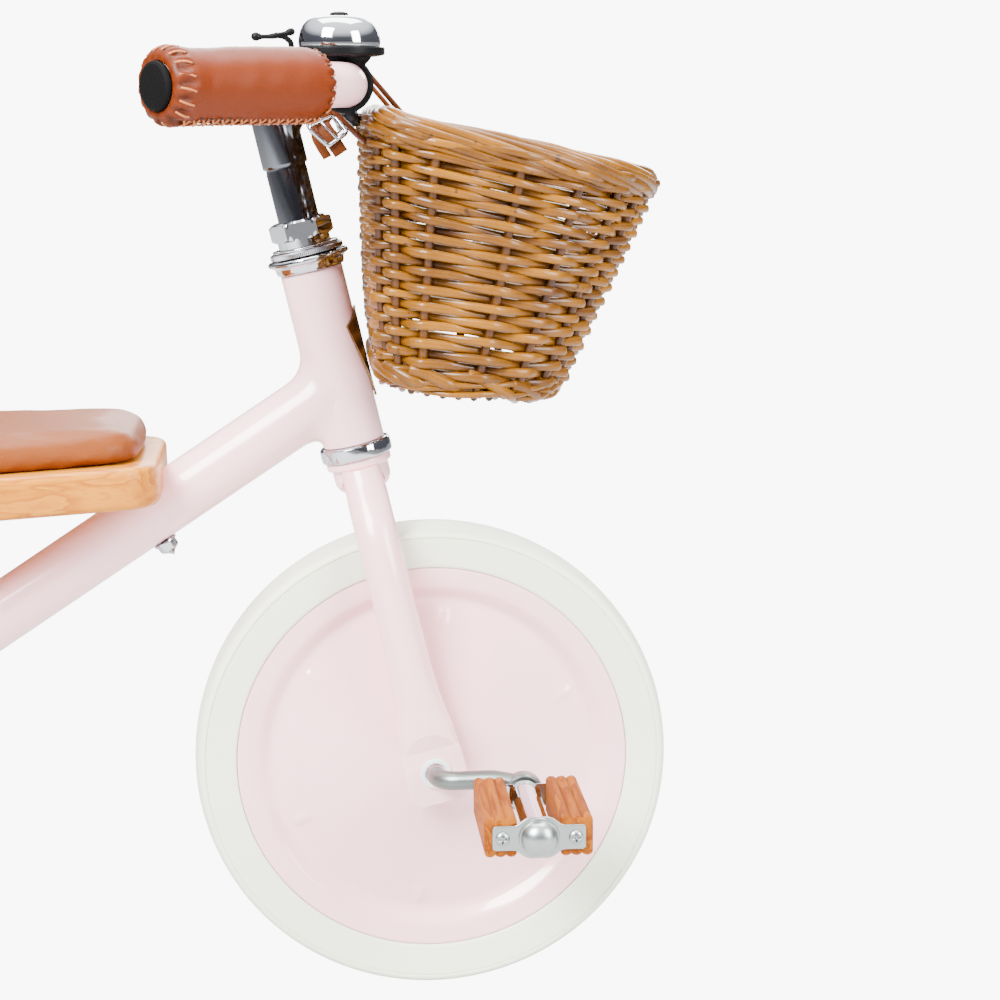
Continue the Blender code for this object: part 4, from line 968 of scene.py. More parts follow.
def crankParts():
    rodR = 5.8
    parts = []
    for side in (-1, 1):
        f = -side
        c = pedalCentre(side)
        eye = c + left * side * 77
        lift = 5.9 if side < 0 else -5.9
        tangentTop = eye + arr(-f * 2.0, 0, lift)
        path = fillet([axle + left * side * 20, axle + left * side * 68.5,
                       axle + left * side * 73.5 + arr(f * 34, 0, lift * 0.35), tangentTop],
                      [0, 15, 24, 0], 12)
        path = resample(path, 60)
        ang = np.linspace(0, 1, 40)[1:] * math.radians(250)
        turn = np.stack([f * (np.sin(ang) * 7.2 - 2.0 * np.exp(-ang * 3)), 0 * ang,
                         np.cos(ang) * lift * 1.16], 1)
        path = np.vstack([path, eye + turn])
        flat = smooth(np.arange(len(path)), 46, 64)[:, None]
        radii = np.array([[rodR, rodR]]) * (1 - flat) + np.array([[5.4, 4.3]]) * flat
        parts.append(tube(path, radii[:, ::-1], 28, ref=left))
        parts.append(lathe([(0.02, 71.5), (9.0, 71.5), (11.9, 72.6), (12.1, 76.5), (11.9, 80.8),
                            (11.0, 82.2), (9.8, 82.4), (9.2, 81.4),
                            (8.8, 81.2), (8.4, 82.6), (7.4, 82.9), (6.6, 82.5), (6.4, 81.6), (5.6, 81.6),
                            (4.0, 82.0), (4.0, 164.0),
                            (0.02, 164.6)], c, left * side, 96, up, soften=0.25))
    parts.append(lathe([(5.6, 33.4), (10, 33.4), (10, 43.8), (5.6, 43.8)], axle, left, 64, up, soften=0.5,
                       closed=True))
    parts.append(lathe([(5.6, -33.4), (10, -33.4), (10, -43.8), (5.6, -43.8)], axle, left, 64, up,
                       soften=0.5, closed=True))
    return parts


build("crankRod", crankParts(), darkZinc, "front_wheel", ["crank"])


# a domed cross-head screw: the cross sinks into the dome
def screwHead(centre, axis, r=4.1, high=2.5):
    axis = unit(axis)
    u = unit(np.cross(up, axis))
    w = np.cross(axis, u)
    rr = np.linspace(0.001, 1, 22)[::-1]
    a = np.linspace(0, 2 * np.pi, 72, endpoint=False)
    R, A = rr[:, None] * r, a[None]
    X, Z = R * np.cos(A), R * np.sin(A)
    dome = high * np.sqrt(np.clip(1 - (rr[:, None] * 0.96) ** 2, 0, 1))
    slot = (bump(X, 0, 0.55) * (np.abs(Z) < 2.5) + bump(Z, 0, 0.55) * (np.abs(X) < 2.5)).clip(0, 1)
    h = dome - 1.25 * slot * smooth(2.9 - R, 0, 0.6)
    pts = centre + X[..., None] * u + Z[..., None] * w + h[..., None] * axis
    return grid(pts, caps=(False, True))


def pedalParts(side):
    c = pedalCentre(side)
    out, label = left * side, "left" if side > 0 else "right"
    body = "pedal_" + label
    cap = label.capitalize()
    inner, outer = 84.5, 166.0

    def local(x, z, y):
        x, z, y = np.broadcast_arrays(*[np.asarray(v, float) for v in (x, z, y)])
        return c + x[..., None] * arr(1, 0, 0) + z[..., None] * up + y[..., None] * out

    for where, sx in (("front", 1), ("rear", -1)):
        k = np.linspace(-1, 1, 49)
        crest = 1.5 * np.abs(np.sin(np.pi * (k + 1) * 1.5)) ** 0.7
        topX, topZ = 9.35 * k, 10.4 + crest - 0.9 * (np.abs(k) ** 18)
        sideZ = np.linspace(topZ[-1], -topZ[-1], 12)[1:-1]
        ringX = np.concatenate([topX, np.full(10, 9.35), topX[::-1], np.full(10, -9.35)])
        ringZ = np.concatenate([topZ, sideZ, -topZ[::-1], -sideZ])
        y = np.array([inner, inner + 0.2, inner + 0.8, *np.linspace(inner + 4, outer - 4, 20), outer - 0.8,
                      outer - 0.2, outer])
        shrink = np.array([0.7, 0.25, 0.0, *np.zeros(20), 0.0, 0.25, 0.7])
        scale = 1 - shrink[:, None] / 10
        pts = local(sx * 22 + ringX[None] * scale, ringZ[None] * scale, y[:, None])
        build("pedalBlock" + cap + where.capitalize(), [grid(pts, caps=(True, True))], pedalWood, body,
              [f"pedal_{label}_block_{where}"], sharp=50)
    lobed = fillet([(-27, -7.3, 0), (-13.5, -7.3, 0), (-7, -12.2, 0), (7, -12.2, 0), (13.5, -7.3, 0),
                    (27, -7.3, 0),
                    (27, 7.3, 0), (13.5, 7.3, 0), (7, 12.2, 0), (-7, 12.2, 0), (-13.5, 7.3, 0),
                    (-27, 7.3, 0)],
                   [2.2, 6, 9, 9, 6, 2.2, 2.2, 6, 9, 9, 6, 2.2], 8, True)

    parts = [plate(lobed, outer + 0.3, outer + 2.3, 0.45, local)]
    parts += [screwHead(local(sx * 21.2, 0, outer + 2.2), out) for sx in (1, -1)]
    build("pedalPlate" + cap, parts, zinc, body, [f"pedal_{label}_outer_plate"], sharp=45)
    sleeve = [(4.4, 83.0), (9.6, 83.0), (9.6, 87.0), (8.3, 88.2), (8.25, 100), (8.25, 150), (8.25, outer),
              (4.4, outer)]
    back = fillet([(-27, -7, 0), (27, -7, 0), (27, 7, 0), (-27, 7, 0)], 2.0, 6, True)
    build("pedalSleeve" + cap, [lathe(sleeve, c, out, 72, up, soften=0.4, closed=True),
                                plate(back, 83.1, 84.3, 0.3, local)],
          chrome, body, [f"pedal_{label}_carrier"])
    a = np.linspace(0, np.pi / 2, 14)
    dome = np.vstack([[(11.6, outer + 2.5), (11.9, outer + 2.8), (11.6, outer + 3.3), (10.9, outer + 3.4)],
                      np.c_[10.9 * np.cos(a), outer + 3.5 + 8.4 * np.sin(a)]])
    build("pedalCap" + cap, [lathe(dome, c, out, 84, up)], zinc, body, [f"pedal_{label}_cap"])


pedalParts(1)
pedalParts(-1)
print("stage: crank and pedals")

# handlebar, grips and stem

barCentre = arr(-52.5, 0, 570.5)
barPath = fillet([(-152.6, -194, 569.5), (-52.5, -114, 570.5), (-52.5, 114, 570.5), (-152.6, 194, 569.5)],
                 [0, 43, 43, 0], 24)
barPath = resample(barPath, 160)
build("handlebarTube", [tube(barPath, 12.7, 72)], pinkPaint, "handlebar_set", ["handlebar"])


def gripParts(side):
    settings = {"length": 107.0, "seam": math.radians(158), "scallop": 0.9, "lacingR": 0.62}
    end, corner = arr(-152.6, side * 194, 569.5), arr(-52.5, side * 114, 570.5)
    d = unit(corner - end)
    rise = unit(up - (up @ d) * d)
    out = unit(arr(d[1] * (1 if side < 0 else -1), -d[0] * (1 if side < 0 else -1), 0))
    t = np.concatenate([[-0.8, -1.3, -1.0, 0.0], np.linspace(1.0, 106.0, 150), [107.0, 107.6, 107.2]])
    base = np.concatenate([[13.4, 14.6, 16.6, 18.3], np.interp(np.linspace(1, 106, 150),
                           [1, 3, 6, 12, 20, 30, 50, 75, 92, 99, 103, 106],
                           [19.3, 20.3, 20.8, 20.9, 20.0, 19.9, 20.7, 20.9, 20.8, 20.2, 19.2, 17.4]),
                           [16.2, 14.6, 13.3]])
    kernel = np.array([1, 2, 3, 2, 1]) / 9
    base[6:-6] = np.convolve(base, kernel, "same")[6:-6]
    a = np.linspace(0, 2 * np.pi, 240, endpoint=False)
    T, A = np.meshgrid(t, a, indexing="ij")
    R = np.repeat(base[:, None], 240, 1)
    off = (A - settings["seam"] + np.pi) % (2 * np.pi) - np.pi
    s = off * 20
    body = smooth(T, 4, 10) * (1 - smooth(T, 99, 104))
    lips = 0.95 * (bump(s, 2.4, 1.5) + bump(s, -2.4, 1.5)) * (0.75 + 0.45 * np.cos(2 * np.pi * T / 6.3))
    R = R + body * (lips - 1.3 * bump(s, 0, 0.8))
    folds = np.cos(15 * A + 0.6 * np.sin(3 * A))
    R = R + 1.05 * folds * bump(T, 4.5, 4.6) * (T > -0.5)
    R = R + 0.55 * np.cos(17 * A) * bump(T, 103.5, 3.0)
    R = R + 0.14 * np.sin(A * 3 + T * 0.11) * np.sin(T * 0.23 + A) * body
    T2 = T + settings["scallop"] * np.cos(17 * A) * smooth(T, 103, 107)

    def at(tt, aa, rr):
        tt, aa, rr = np.broadcast_arrays(*[np.asarray(v, float) for v in (tt, aa, rr)])
        return (end + tt[..., None] * d + (rr * np.cos(aa))[..., None] * rise + (rr * np.sin(aa))[...,
                                                                                                  None] * out)

    skin = grid(at(T2, A, R), caps=(False, False))
    # painted shade: 1 on lit skin, lower in the fold valleys at the inner end, along the seam's groove, at
    # the outer end and on the underside
    litShare = (1 - 0.75 * bump(T, 2.0, 5.0) * (0.62 - 0.38 * folds) - 0.45 * body * bump(s, 0, 2.6)
             - 0.25 * bump(T, 106, 3.0))
    litShare = litShare - 0.22 * smooth(0.9 - np.abs(A - np.pi), 0, 0.9)
    skin[3][:, 2] = np.clip(litShare, 0, 1).ravel()
    lace, holes = [], []
    k = np.linspace(0, 1, 9)
    for i in range(15):
        t0 = 9.5 + 6.3 * i
        for turn in (1, -1):
            aa = settings["seam"] + np.linspace(-3.9, 3.9, 9) / 20
            lift = 20.8 + (1.1 + 0.25 * turn) * np.sin(np.pi * k) ** 0.7 - 0.9 * (np.abs(2 * k - 1) ** 8)
            p, r = roundEnds(at(t0 + turn * (k - 0.5) * 4.6, aa, lift), settings["lacingR"], 3)
            lace.append(tube(p, r, 8, ref=d + 0.01 * up))
            for e in (0, -1):
                holes.append(at(t0 + turn * (k[e] - 0.5) * 4.6, aa[e], 20.7))
    for j in range(17):
        aj = 2 * np.pi * (j + 0.5) / 17
        if abs((aj - settings["seam"] + np.pi) % (2 * np.pi) - np.pi) < 0.12:
            continue
        lift = 0.55 * np.sin(np.pi * k) ** 0.6
        p, r = roundEnds(at(1.0 + 8.5 * k, aj + 0.10 * (k - 0.5),
                            np.interp(1.0 + 8.5 * k, [0, 3, 6, 12], [18.6, 20.0, 20.7, 20.8]) + lift),
                         settings["lacingR"], 3)
        lace.append(tube(p, r, 8, ref=np.broadcast_to(unit(at(0, aj + 1.57, 1) - end), p.shape)))
        holes.append(at(9.6, aj + 0.05, 20.9))
        p, r = roundEnds(at(107.2 - 4.6 * k, aj + 0.12 * (k - 0.5),
                            np.interp(107.2 - 4.6 * k, [99, 103, 106, 107.5],
                                      [20.3, 19.4, 17.7, 15.6]) + lift),
                         0.5, 3)
        lace.append(tube(p, r, 8, ref=np.broadcast_to(unit(at(0, aj + 1.57, 1) - end), p.shape)))
        holes.append(at(102.0, aj + 0.06, 19.9))
    # near-black dots at the holes: painted shade inside the stitch holes
    dots = []
    ball = np.linspace(0.05, np.pi - 0.05, 7)
    for h in holes:
        dots.append(lathe(np.c_[0.75 * np.sin(ball), 0.75 * np.cos(ball)], h, up, 8, left))
    return skin, lace, dots, end, d


for side, label in ((1, "left"), (-1, "right")):
    skin, lace, dots, end, d = gripParts(side)
    cap = label.capitalize()
    build("grip" + cap, [skin], gripLeather, "handlebar_set", ["grip_" + label], sharp=75)
    build("gripLacing" + cap, lace, threadBrown, "handlebar_set")
    build("gripHoles" + cap, dots, holeShade, "handlebar_set")
    plug = [(0.02, -4.6), (8.0, -4.5), (11.4, -4.1), (12.9, -3.2), (13.3, -1.8), (13.3, -0.7),
            (10.2, -0.6), (10.2, 16), (0.02, 16)]
    build("gripPlug" + cap, [lathe(plug, end, d, 84, up, soften=0.4)], blackRubber, "handlebar_set",
          ["grip_plug_" + label])


# quill, head, and an arm that leaves the head in one sweep and ends in the bar's clamp
def stemParts():
    barX, barS = 44.9, 421.4
    quill = lathe([(8.0, 300), (12.7, 300.5), (12.7, 379.2), (12.4, 380.2), (12.4, 381.8), (13.6, 382.0),
                   (14.0, 382.7), (14.05, 384),
                   (14.0, 424), (13.6, 426.4), (12.2, 428.6), (9.6, 430.0), (4.4, 430.4), (4.3, 428)],
                  axle, steerUp, 112, left)
    x = np.linspace(0, barX - 3, 60)
    k = x / x[-1]
    # the arm's underside starts low on the head and curves up towards the clamp
    sweep = 10.8 * (1 - np.exp(-(x - 9) / 9.0)) - 9.5 * np.exp(-(x - 9) / 5.0)
    lowEdge = 398 + 4.6 * k + np.where(x > 9, sweep, -9.5)
    highEdge = 428.6 + (barS + 13.2 - 428.6) * smooth(k)
    half = (highEdge - lowEdge) / 2
    mid = (highEdge + lowEdge) / 2
    wide = 12.4 + 3.4 * smooth(k)
    a = np.linspace(0, 2 * np.pi, 56, endpoint=False)
    sq = 2.5
    c, s = np.cos(a), np.sin(a)
    cc = np.sign(c) * np.abs(c) ** (2 / sq)
    ss = np.sign(s) * np.abs(s) ** (2 / sq)
    arm = grid(steer(x[:, None] + 0 * a, wide[:, None] * cc, mid[:, None] + half[:, None] * ss),
               caps=(True, True))
    centre = steer(barX, 0, barS)
    clamp = lathe([(13.0, -20), (16.6, -20), (17.3, -19.2), (17.3, 19.2), (16.6, 20), (13.0, 20)], centre,
                  left, 96, steerUp,
                  soften=0.5, closed=True)
    b = arr(barX, 0, barS)
    lug = fillet([(-5.6, -9, 0), (5.6, -9, 0), (5.6, 9, 0), (-5.6, 9, 0)], 1.6, 5, True)
    lugs = plate(lug, b[2] - 26, b[2] - 12, 1.2, lambda px, py, pz: steer(b[0] + px, py, pz))
    return [quill, arm, clamp, lugs]


build("stemBody", stemParts(), alloy, "handlebar_set", ["stem"], sharp=50)
print("stage: handlebar, grips, stem")

# bell and its lever

bellX, bellY = -55.4, -85.0
bellFoot = arr(bellX, bellY, 0)
a = np.linspace(0, np.pi / 2, 22)
domeOut = np.c_[2.6 + 20.9 * np.cos(a) ** 0.5, 592.2 + 17.3 * np.sin(a) ** 0.92]
domeProfile = np.vstack([[(22.4, 592.4), (23.1, 592.0)], domeOut[1:]])
build("bellDome", [lathe(domeProfile, bellFoot, up, 144, left)], chrome, "handlebar_set", ["bell_dome"],
      sharp=60)
ringProfile = [(3.2, 586.0), (14, 585.8), (21, 586.4), (25.4, 587.2), (25.9, 588.0), (25.9, 591.2),
               (25.5, 591.8), (24.3, 591.8),
               (24.1, 589.6), (3.2, 589.4)]
barHere = arr(-52.5, bellY, 570.5)
neck = fillet([(-12, -7, 0), (12, -7, 0), (12, 7, 0), (-12, 7, 0)], 4.0, 6, True)


def neckPlace(x, y, z):
    flare = 1.0 + 0.5 * smooth(z, 578, 586.5)
    x, y, z = np.broadcast_arrays(x * flare, y * flare, z)
    return np.stack([bellX + x, bellY + y, z], -1)


k = np.linspace(0, 1, 12)[:, None]
neckPts = neckPlace(neck[None, :, 0], neck[None, :, 1], 572 + 15 * k + 0 * neck[None, :, 0])
build("bellBase", [lathe(ringProfile, bellFoot, up, 128, left, soften=0.4, closed=True),
                   grid(neckPts, caps=(True, True)),
                   lathe([(13.0, -7), (15.2, -7), (16.2, -6.2), (16.2, 6.2), (15.2, 7), (13.0, 7)],
                         barHere, left, 80, up, soften=0.5, closed=True)],
      blackPlastic, "handlebar_set", ["bell_base"])
build("bellScrew", [lathe([(2.4, 606.0), (2.4, 609.3), (5.2, 609.4), (5.5, 610.0), (4.9, 611.0),
                           (3.0, 611.6), (0.02, 611.8)],
                          bellFoot, up, 48, left)], blackPlastic, "handlebar_set", ["bell_screw"])
far, near = arr(-103.2, bellY, 597.6), arr(-82.6, bellY, 600.4)
k = np.linspace(0, 1, 40)
leverPath = far + (near - far) * k[:, None] + np.c_[0 * k, 0 * k, -1.1 * np.sin(np.pi * k)]
leverR = 1.25 + 1.25 * bump(k, 0.03, 0.10) + 0.95 * bump(k, 0.97, 0.09) + 0.45 * bump(k, 0.55, 0.16)
p, r = roundEnds(leverPath, leverR, 5)
armPath = fillet([(-82.6, bellY, 589.4), (-82.9, bellY, 594.6), (-86.6, bellY, 597.6),
                  (-92.0, bellY, 598.6)], [0, 4, 4, 0], 8)
build("bellLever", [tube(p, r, 20, ref=left), tube(armPath, np.tile([[1.6, 0.8]], (len(armPath), 1)), 14,
                                                   ref=left)],
      blackPlastic, "striker", ["bell_striker"])
print("stage: bell")

# basket

basketSettings = {"backX": (-32.5, -36.5), "depth": (109.0, 178.0), "half": (90.0, 120.0),
                  "backZ": (386.7, 554.5), "frontZ": (376.0, 513.0), "rows": 29, "bulge": 4.0,
                  "clear": 25.2}


# a basket measure at a level: the first of its pair is at the foot and the second at the rim
def between(key, level):
    foot, rim = basketSettings[key]
    return foot + (rim - foot) * level


def planLoop(level, count=1440):
    back, depth, half = [between(key, level) for key in ("backX", "depth", "half")]
    a = np.linspace(-np.pi / 2, np.pi / 2, 400)
    front = np.c_[back + 0.34 * depth + 0.66 * depth * np.cos(a).clip(0) ** 0.86,
                  half * np.sign(np.sin(a)) * np.abs(np.sin(a)) ** 0.9]
    r, hb = 28 + 4 * level, half * 0.98
    t = np.linspace(0, np.pi / 2, 40)
    cl = np.c_[back + r - r * np.sin(t), hb - r + r * np.cos(t)]
    cr = np.c_[back + r - r * np.cos(t), -hb + r - r * np.sin(t)]
    loop = np.vstack([front, cl, cr, front[:1]])
    return resample(loop, count + 1)[:-1]


loops = [planLoop(0.0), planLoop(1.0)]
loopU = np.arange(1440) / 1440


# a point on the basket's wall at a share u of the way round and a level up; out is along the wall's normal
def basketAt(u, level, out=0.0, lift=0.0):
    u, level, out, lift = np.broadcast_arrays(*[np.asarray(v, float) for v in (u, level, out, lift)])

    def plan(uu):
        idx = (uu % 1.0) * 1440
        i = np.floor(idx).astype(int) % 1440
        f = (idx - np.floor(idx))[..., None]
        pair = [lp[i] * (1 - f) + lp[(i + 1) % 1440] * f for lp in loops]
        return pair[0] * (1 - level[..., None]) + pair[1] * level[..., None]

    p = plan(u)
    tang = unit(plan(u + 0.004) - plan(u - 0.004))
    normal = np.stack([tang[..., 1], -tang[..., 0]], -1)
    back, depth, zb, zf = [between(key, level) for key in ("backX", "depth", "backZ", "frontZ")]
    share = (p[..., 0] - back) / depth
    z = zb + (zf - zb) * share + lift
    q = p + normal * out[..., None]
    q[..., 0] -= basketSettings["bulge"] * smooth(level, 0.0, 0.4) * (1 - smooth(share, 0.0, 0.45))
    points = np.concatenate([q, z[..., None]], -1)
    # the wall stands clear of the head tube and its plate, whose axis is the one the bar turns about
    rel = points - axle
    s = rel @ steerUp
    flat = rel - s[..., None] * steerUp
    near = np.linalg.norm(flat, axis=-1)
    push = np.maximum(basketSettings["clear"] - near, 0) * (s < 300)
    return points + unit(flat) * push[..., None]


# how far forward a place on the rim is: 0 at the back and 1 at the front
def share(u):
    x = basketAt(u, 1.0)[..., 0]
    return (x - x.min()) / (x.max() - x.min())


rightStakes = [0.905, 0.933, 0.968, 0.036, 0.092, 0.139, 0.178, 0.216]
centreU = 0.2675
stakeU = np.sort(np.array([u % 1.0 for u in rightStakes] + [(2 * centreU - u) % 1.0 for u in rightStakes]
                          + [centreU]
                          + [0.677, 0.722, 0.768, 0.814, 0.860]))
stakeCount = len(stakeU)
wallIn = -4.3


def stakeIndex(u):
    xs = np.concatenate([stakeU - 1, stakeU, stakeU + 1])
    return np.interp(u, xs, np.arange(3 * stakeCount) - stakeCount)


def wave(phase):
    c = np.cos(np.pi * phase)
    return 0.4 * c + 0.6 * (2 / np.pi) * np.arcsin(np.clip(c, -1, 1))


def noiseLine(n, size, smoothness):
    raw = rng.normal(size=n)
    k = np.exp(-np.linspace(-2, 2, smoothness) ** 2)
    long = np.concatenate([raw[-smoothness:], raw, raw[:smoothness]])
    out = np.convolve(long, k / np.sqrt((k ** 2).sum()), "same")[smoothness:-smoothness]
    return out * size


def weavers():
    parts = []
    samples = stakeCount * 16
    idx = np.linspace(0, stakeCount, samples, endpoint=False)
    u = np.interp(idx, np.arange(stakeCount + 1), np.append(stakeU, stakeU[0] + 1))
    count = basketSettings["rows"]
    steps = np.linspace(5.2, 3.8, count - 1)
    levels = 0.125 + (0.982 - 0.125) * np.concatenate([[0], np.cumsum(steps)]) / steps.sum()
    for k in range(count):
        level = levels[k]
        through = wave(idx + k)
        swell = 1 + 0.05 * rng.normal() + noiseLine(samples, 0.05, 61) + 0.10 * np.abs(through) - 0.05
        radius = (2.85 - 0.6 * k / count) * swell
        out = wallIn + 4.3 * through + noiseLine(samples, 0.2, 25)
        lift = noiseLine(samples, 0.42, 31) + 0.3 * np.cos(np.pi * (idx + k))
        # the rod's own tone varies at random, with painted shade darkening it where it dives behind a stake
        tint = np.clip(0.52 + rng.normal() * 0.17 + noiseLine(samples, 0.12,
                                                              61) - 0.30 * np.clip(0.15 - through, 0, 1),
                       0, 1)
        parts.append(tube(basketAt(u, level, out, lift), np.c_[radius * 0.88, radius], 14, closed=True,
                          tint=tint, square=2.6))
    return parts


# three thinner rods twined round the stakes at the foot: in front of two, behind one
def waling():
    parts = []
    samples = stakeCount * 18
    idx = np.linspace(0, stakeCount, samples, endpoint=False)
    u = np.interp(idx, np.arange(stakeCount + 1), np.append(stakeU, stakeU[0] + 1))
    turns = 22 / 3
    for band in range(2):
        for j in range(3):
            phase = 2 * np.pi * (idx * (7 / 22) + j / 3 + band * 0.15)
            out = wallIn + 0.8 + 3.0 * np.cos(phase)
            lift = 1.5 * np.sin(phase) + noiseLine(samples, 0.25, 31)
            r = 1.75 * (1 + noiseLine(samples, 0.06, 41))
            tint = np.clip(0.45 + rng.normal() * 0.15 + noiseLine(samples, 0.08, 61), 0, 1)
            parts.append(tube(basketAt(u, 0.062 + 0.032 * band, out, lift + 1.0 * j), np.c_[r, r], 10,
                              closed=True, tint=tint))
    return parts


def stakes():
    parts = []
    for u in stakeU:
        level = np.linspace(0.06, 0.97, 40)
        uu = u + noiseLine(40, 0.0007, 15)
        r = 2.75 * (1 + noiseLine(40, 0.03, 11))
        parts.append(tube(basketAt(uu, level, wallIn, 0.0), r, 12, ref=arr(0.3, 0.5, 0),
                          tint=0.35 + 0.3 * rng.random()))
    return parts


# rods laid side by side that wind slowly round the rim's roll, over the top and down the outside
def rim():
    settings = {"strands": 11, "turns": 2, "roll": (7.9, 7.7), "inset": -11.2, "lift": -1.6, "drop": 5.0}
    parts, n = [], 900
    u = np.linspace(0, 1, n, endpoint=False)
    drop = settings["drop"] * (1 - share(u))
    for j in range(settings["strands"]):
        wander = 0.07 * np.sin(2 * np.pi * (5 * u + j * 0.37))
        a = 2 * np.pi * (j / settings["strands"] - settings["turns"] * u) + wander
        swell = noiseLine(n, 0.32, 61)
        # every rod starts thick and runs thin before the next one takes over its lane
        lane = (u * settings["turns"] * 2 + j * 0.618) % 1.0
        r = 2.95 * (0.82 + 0.24 * np.sin(np.pi * lane) ** 0.5) * (1 + noiseLine(n, 0.03, 61))
        out = settings["inset"] + (settings["roll"][0] + swell) * np.cos(a)
        lift = settings["lift"] - drop + (settings["roll"][1] + swell) * np.sin(a)
        tint = np.clip(0.5 + rng.normal() * 0.13 + 0.25 * (lane - 0.5) + noiseLine(n, 0.06, 61), 0, 1)
        parts.append(tube(basketAt(u, 1.0, out, lift), r, 10, closed=True, tint=tint))
    return parts


# a near-black core inside the rim's roll, painted shade seen through the gaps between the rods
def rimCore():
    u = np.linspace(0, 1, 300, endpoint=False)
    return [tube(basketAt(u, 1.0, -11.2, -1.6 - 5.0 * (1 - share(u))),
                 np.c_[np.full(300, 7.4), np.full(300, 7.0)], 16, closed=True)]


# one thick rod by each stake: a cut end on the outside of the wall, then aslant down and under the base
def foot():
    parts = []
    k = np.concatenate([[0, 0.012], np.linspace(0.03, 0.97, 24), [0.988, 1]])
    ends = np.concatenate([[0.84, 0.96], np.ones(24), [0.96, 0.84]])
    for u in stakeU:
        run = 0.085 + 0.006 * rng.normal()
        uu = u - 0.010 + run * k
        lift = 17.0 - 8.5 * smooth(k, 0.0, 0.75) - 2.2 * smooth(k, 0.7, 1.0) + rng.normal() * 0.5
        lift = lift + 4.0 * (1 - smooth(basketAt(uu, 0.0)[:, 0], 10, 48))
        out = 2.0 - 0.5 * k - 13.0 * smooth(k, 0.45, 1.05)
        r = 3.7 * (1 - 0.12 * k) * (1 + 0.05 * rng.normal()) * ends
        parts.append(tube(basketAt(uu, 0.0, out, lift), r, 16, tint=np.clip(0.55 + 0.18 * rng.normal(), 0,
                                                                            1)))
    return parts


# the floor: five long sticks with rods woven across them, over one and under the next
def basketBase():
    parts = []
    ring = basketAt(loopU, 0.02, -5.0, 0.0)
    slope = (376.0 - 386.7) / 109.0

    def baseZ(x):
        return 386.7 + slope * (x + 32.5) + 9.5

    xs = np.arange(ring[:, 0].min() + 3, ring[:, 0].max() - 3, 4.6)
    sticks = np.linspace(-66, 66, 7)
    for k, x in enumerate(xs):
        near = np.abs(ring[:, 0] - x) < 2.5
        half = np.abs(ring[near, 1]).max()
        y = np.linspace(-half, half, 90)
        phase = np.interp(y, sticks, np.arange(7), left=None, right=None) + (y - np.clip(y, -66, 66)) / 22.0
        z = baseZ(x) + 2.3 * np.cos(np.pi * (phase + k))
        parts.append(tube(np.stack([np.full(90, x), y, z], 1), 2.25, 8,
                          tint=np.clip(0.4 + 0.15 * rng.normal(), 0, 1)))
    for y in sticks:
        near = np.abs(ring[:, 1] - y) < 2.5
        x = np.linspace(ring[near, 0].min(), ring[near, 0].max(), 20)
        parts.append(tube(np.stack([x, np.full(20, y), baseZ(x)], 1), 2.4, 10, tint=0.3))
    return parts


build("basketWeave", weavers(), willow, "handlebar_set", ["basket"], sharp=80)
build("basketWaling", waling(), willow, "handlebar_set", sharp=80)
build("basketStakes", stakes(), willowStake, "handlebar_set", sharp=80)
build("basketRim", rim(), willow, "handlebar_set", sharp=80)
build("basketRimCore", rimCore(), rimCoreShade, "handlebar_set", sharp=80)
build("basketFoot", foot(), willow, "handlebar_set", sharp=80)
build("basketBase", basketBase(), willowStake, "handlebar_set", sharp=80)
print("stage: basket")

# straps and buckles


# the line of a belt laid round two pulleys, as points of x and z
def belt(first, firstR, second, secondR, steps=40):
    first, second = np.asarray(first, float), np.asarray(second, float)
    gap = second - first
    heading = math.atan2(gap[1], gap[0])
    opening = math.acos((firstR - secondR) / np.linalg.norm(gap))
    out = []
    for centre, radius, lo, hi in ((first, firstR, opening, 2 * np.pi - opening),
                                   (second, secondR, -opening, opening)):
        t = heading + np.linspace(lo, hi, steps)
        out.append(np.c_[centre[0] + radius * np.cos(t), centre[1] + radius * np.sin(t)])
    return np.vstack(out)


def ribbon(line, y, half, thick):
    path = np.c_[line[:, 0], np.full(len(line), y), line[:, 1]]
    return tube(path, np.tile([[thick, half]], (len(path), 1)), 28, closed=True, ref=left, square=5.0)


# a strap's end that hangs turned, its face to the side
def turnedEnd(points, half, thick, side):
    path = spline(np.array(points) * [1, side, 1], 30)
    return tube(path, np.tile([[half, thick]], (30, 1)), 28, ref=left, square=5.0)


for side, label in ((1, "left"), (-1, "right")):
    line = belt((-52.5, 570.5), 15.1, (-31.0, 547.8), 13.6)
    line = resample(np.vstack([line, line[:1]]), 121)[:-1]
    cap = label.capitalize()
    longEnd = turnedEnd([(-60.5, 62, 557), (-65.2, 64, 549), (-60.2, 66, 540), (-54.5, 66.4, 531)], 4.3,
                        1.4, side)
    shortEnd = turnedEnd([(-63, 58, 551), (-68, 58.4, 539.5), (-62.5, 58, 528.5)], 2.7, 1.3, side)
    build("strap" + cap, [ribbon(line, side * 60.0, 6.0, 1.5), longEnd, shortEnd], strapLeather,
          "handlebar_set",
          ["strap_" + label], sharp=50)
    corners = np.array([(-74.2, 68.8, 546.4), (-62.0, 69.0, 535.4), (-50.9, 68.0, 543.6),
                        (-58.6, 63.0, 553.2)]) * [1, side, 1]
    frameLoop = fillet(corners, 2.2, 6, True)
    frameLoop = resample(np.vstack([frameLoop, frameLoop[:1]]), 81)[:-1]
    prong = np.array([(-66.4, 66.2, 549.6), (-61.5, 68.6, 544.5), (-56.6, 69.6, 539.2)]) * [1, side, 1]
    build("buckle" + cap, [tube(frameLoop, 1.4, 14, closed=True, ref=left),
                           tube(spline(prong, 14), 0.9, 10, ref=left)],
          chrome, "handlebar_set", ["buckle_" + label])
print("stage: straps")

# CAD pieces that are shown as they are, with their facets smoothed

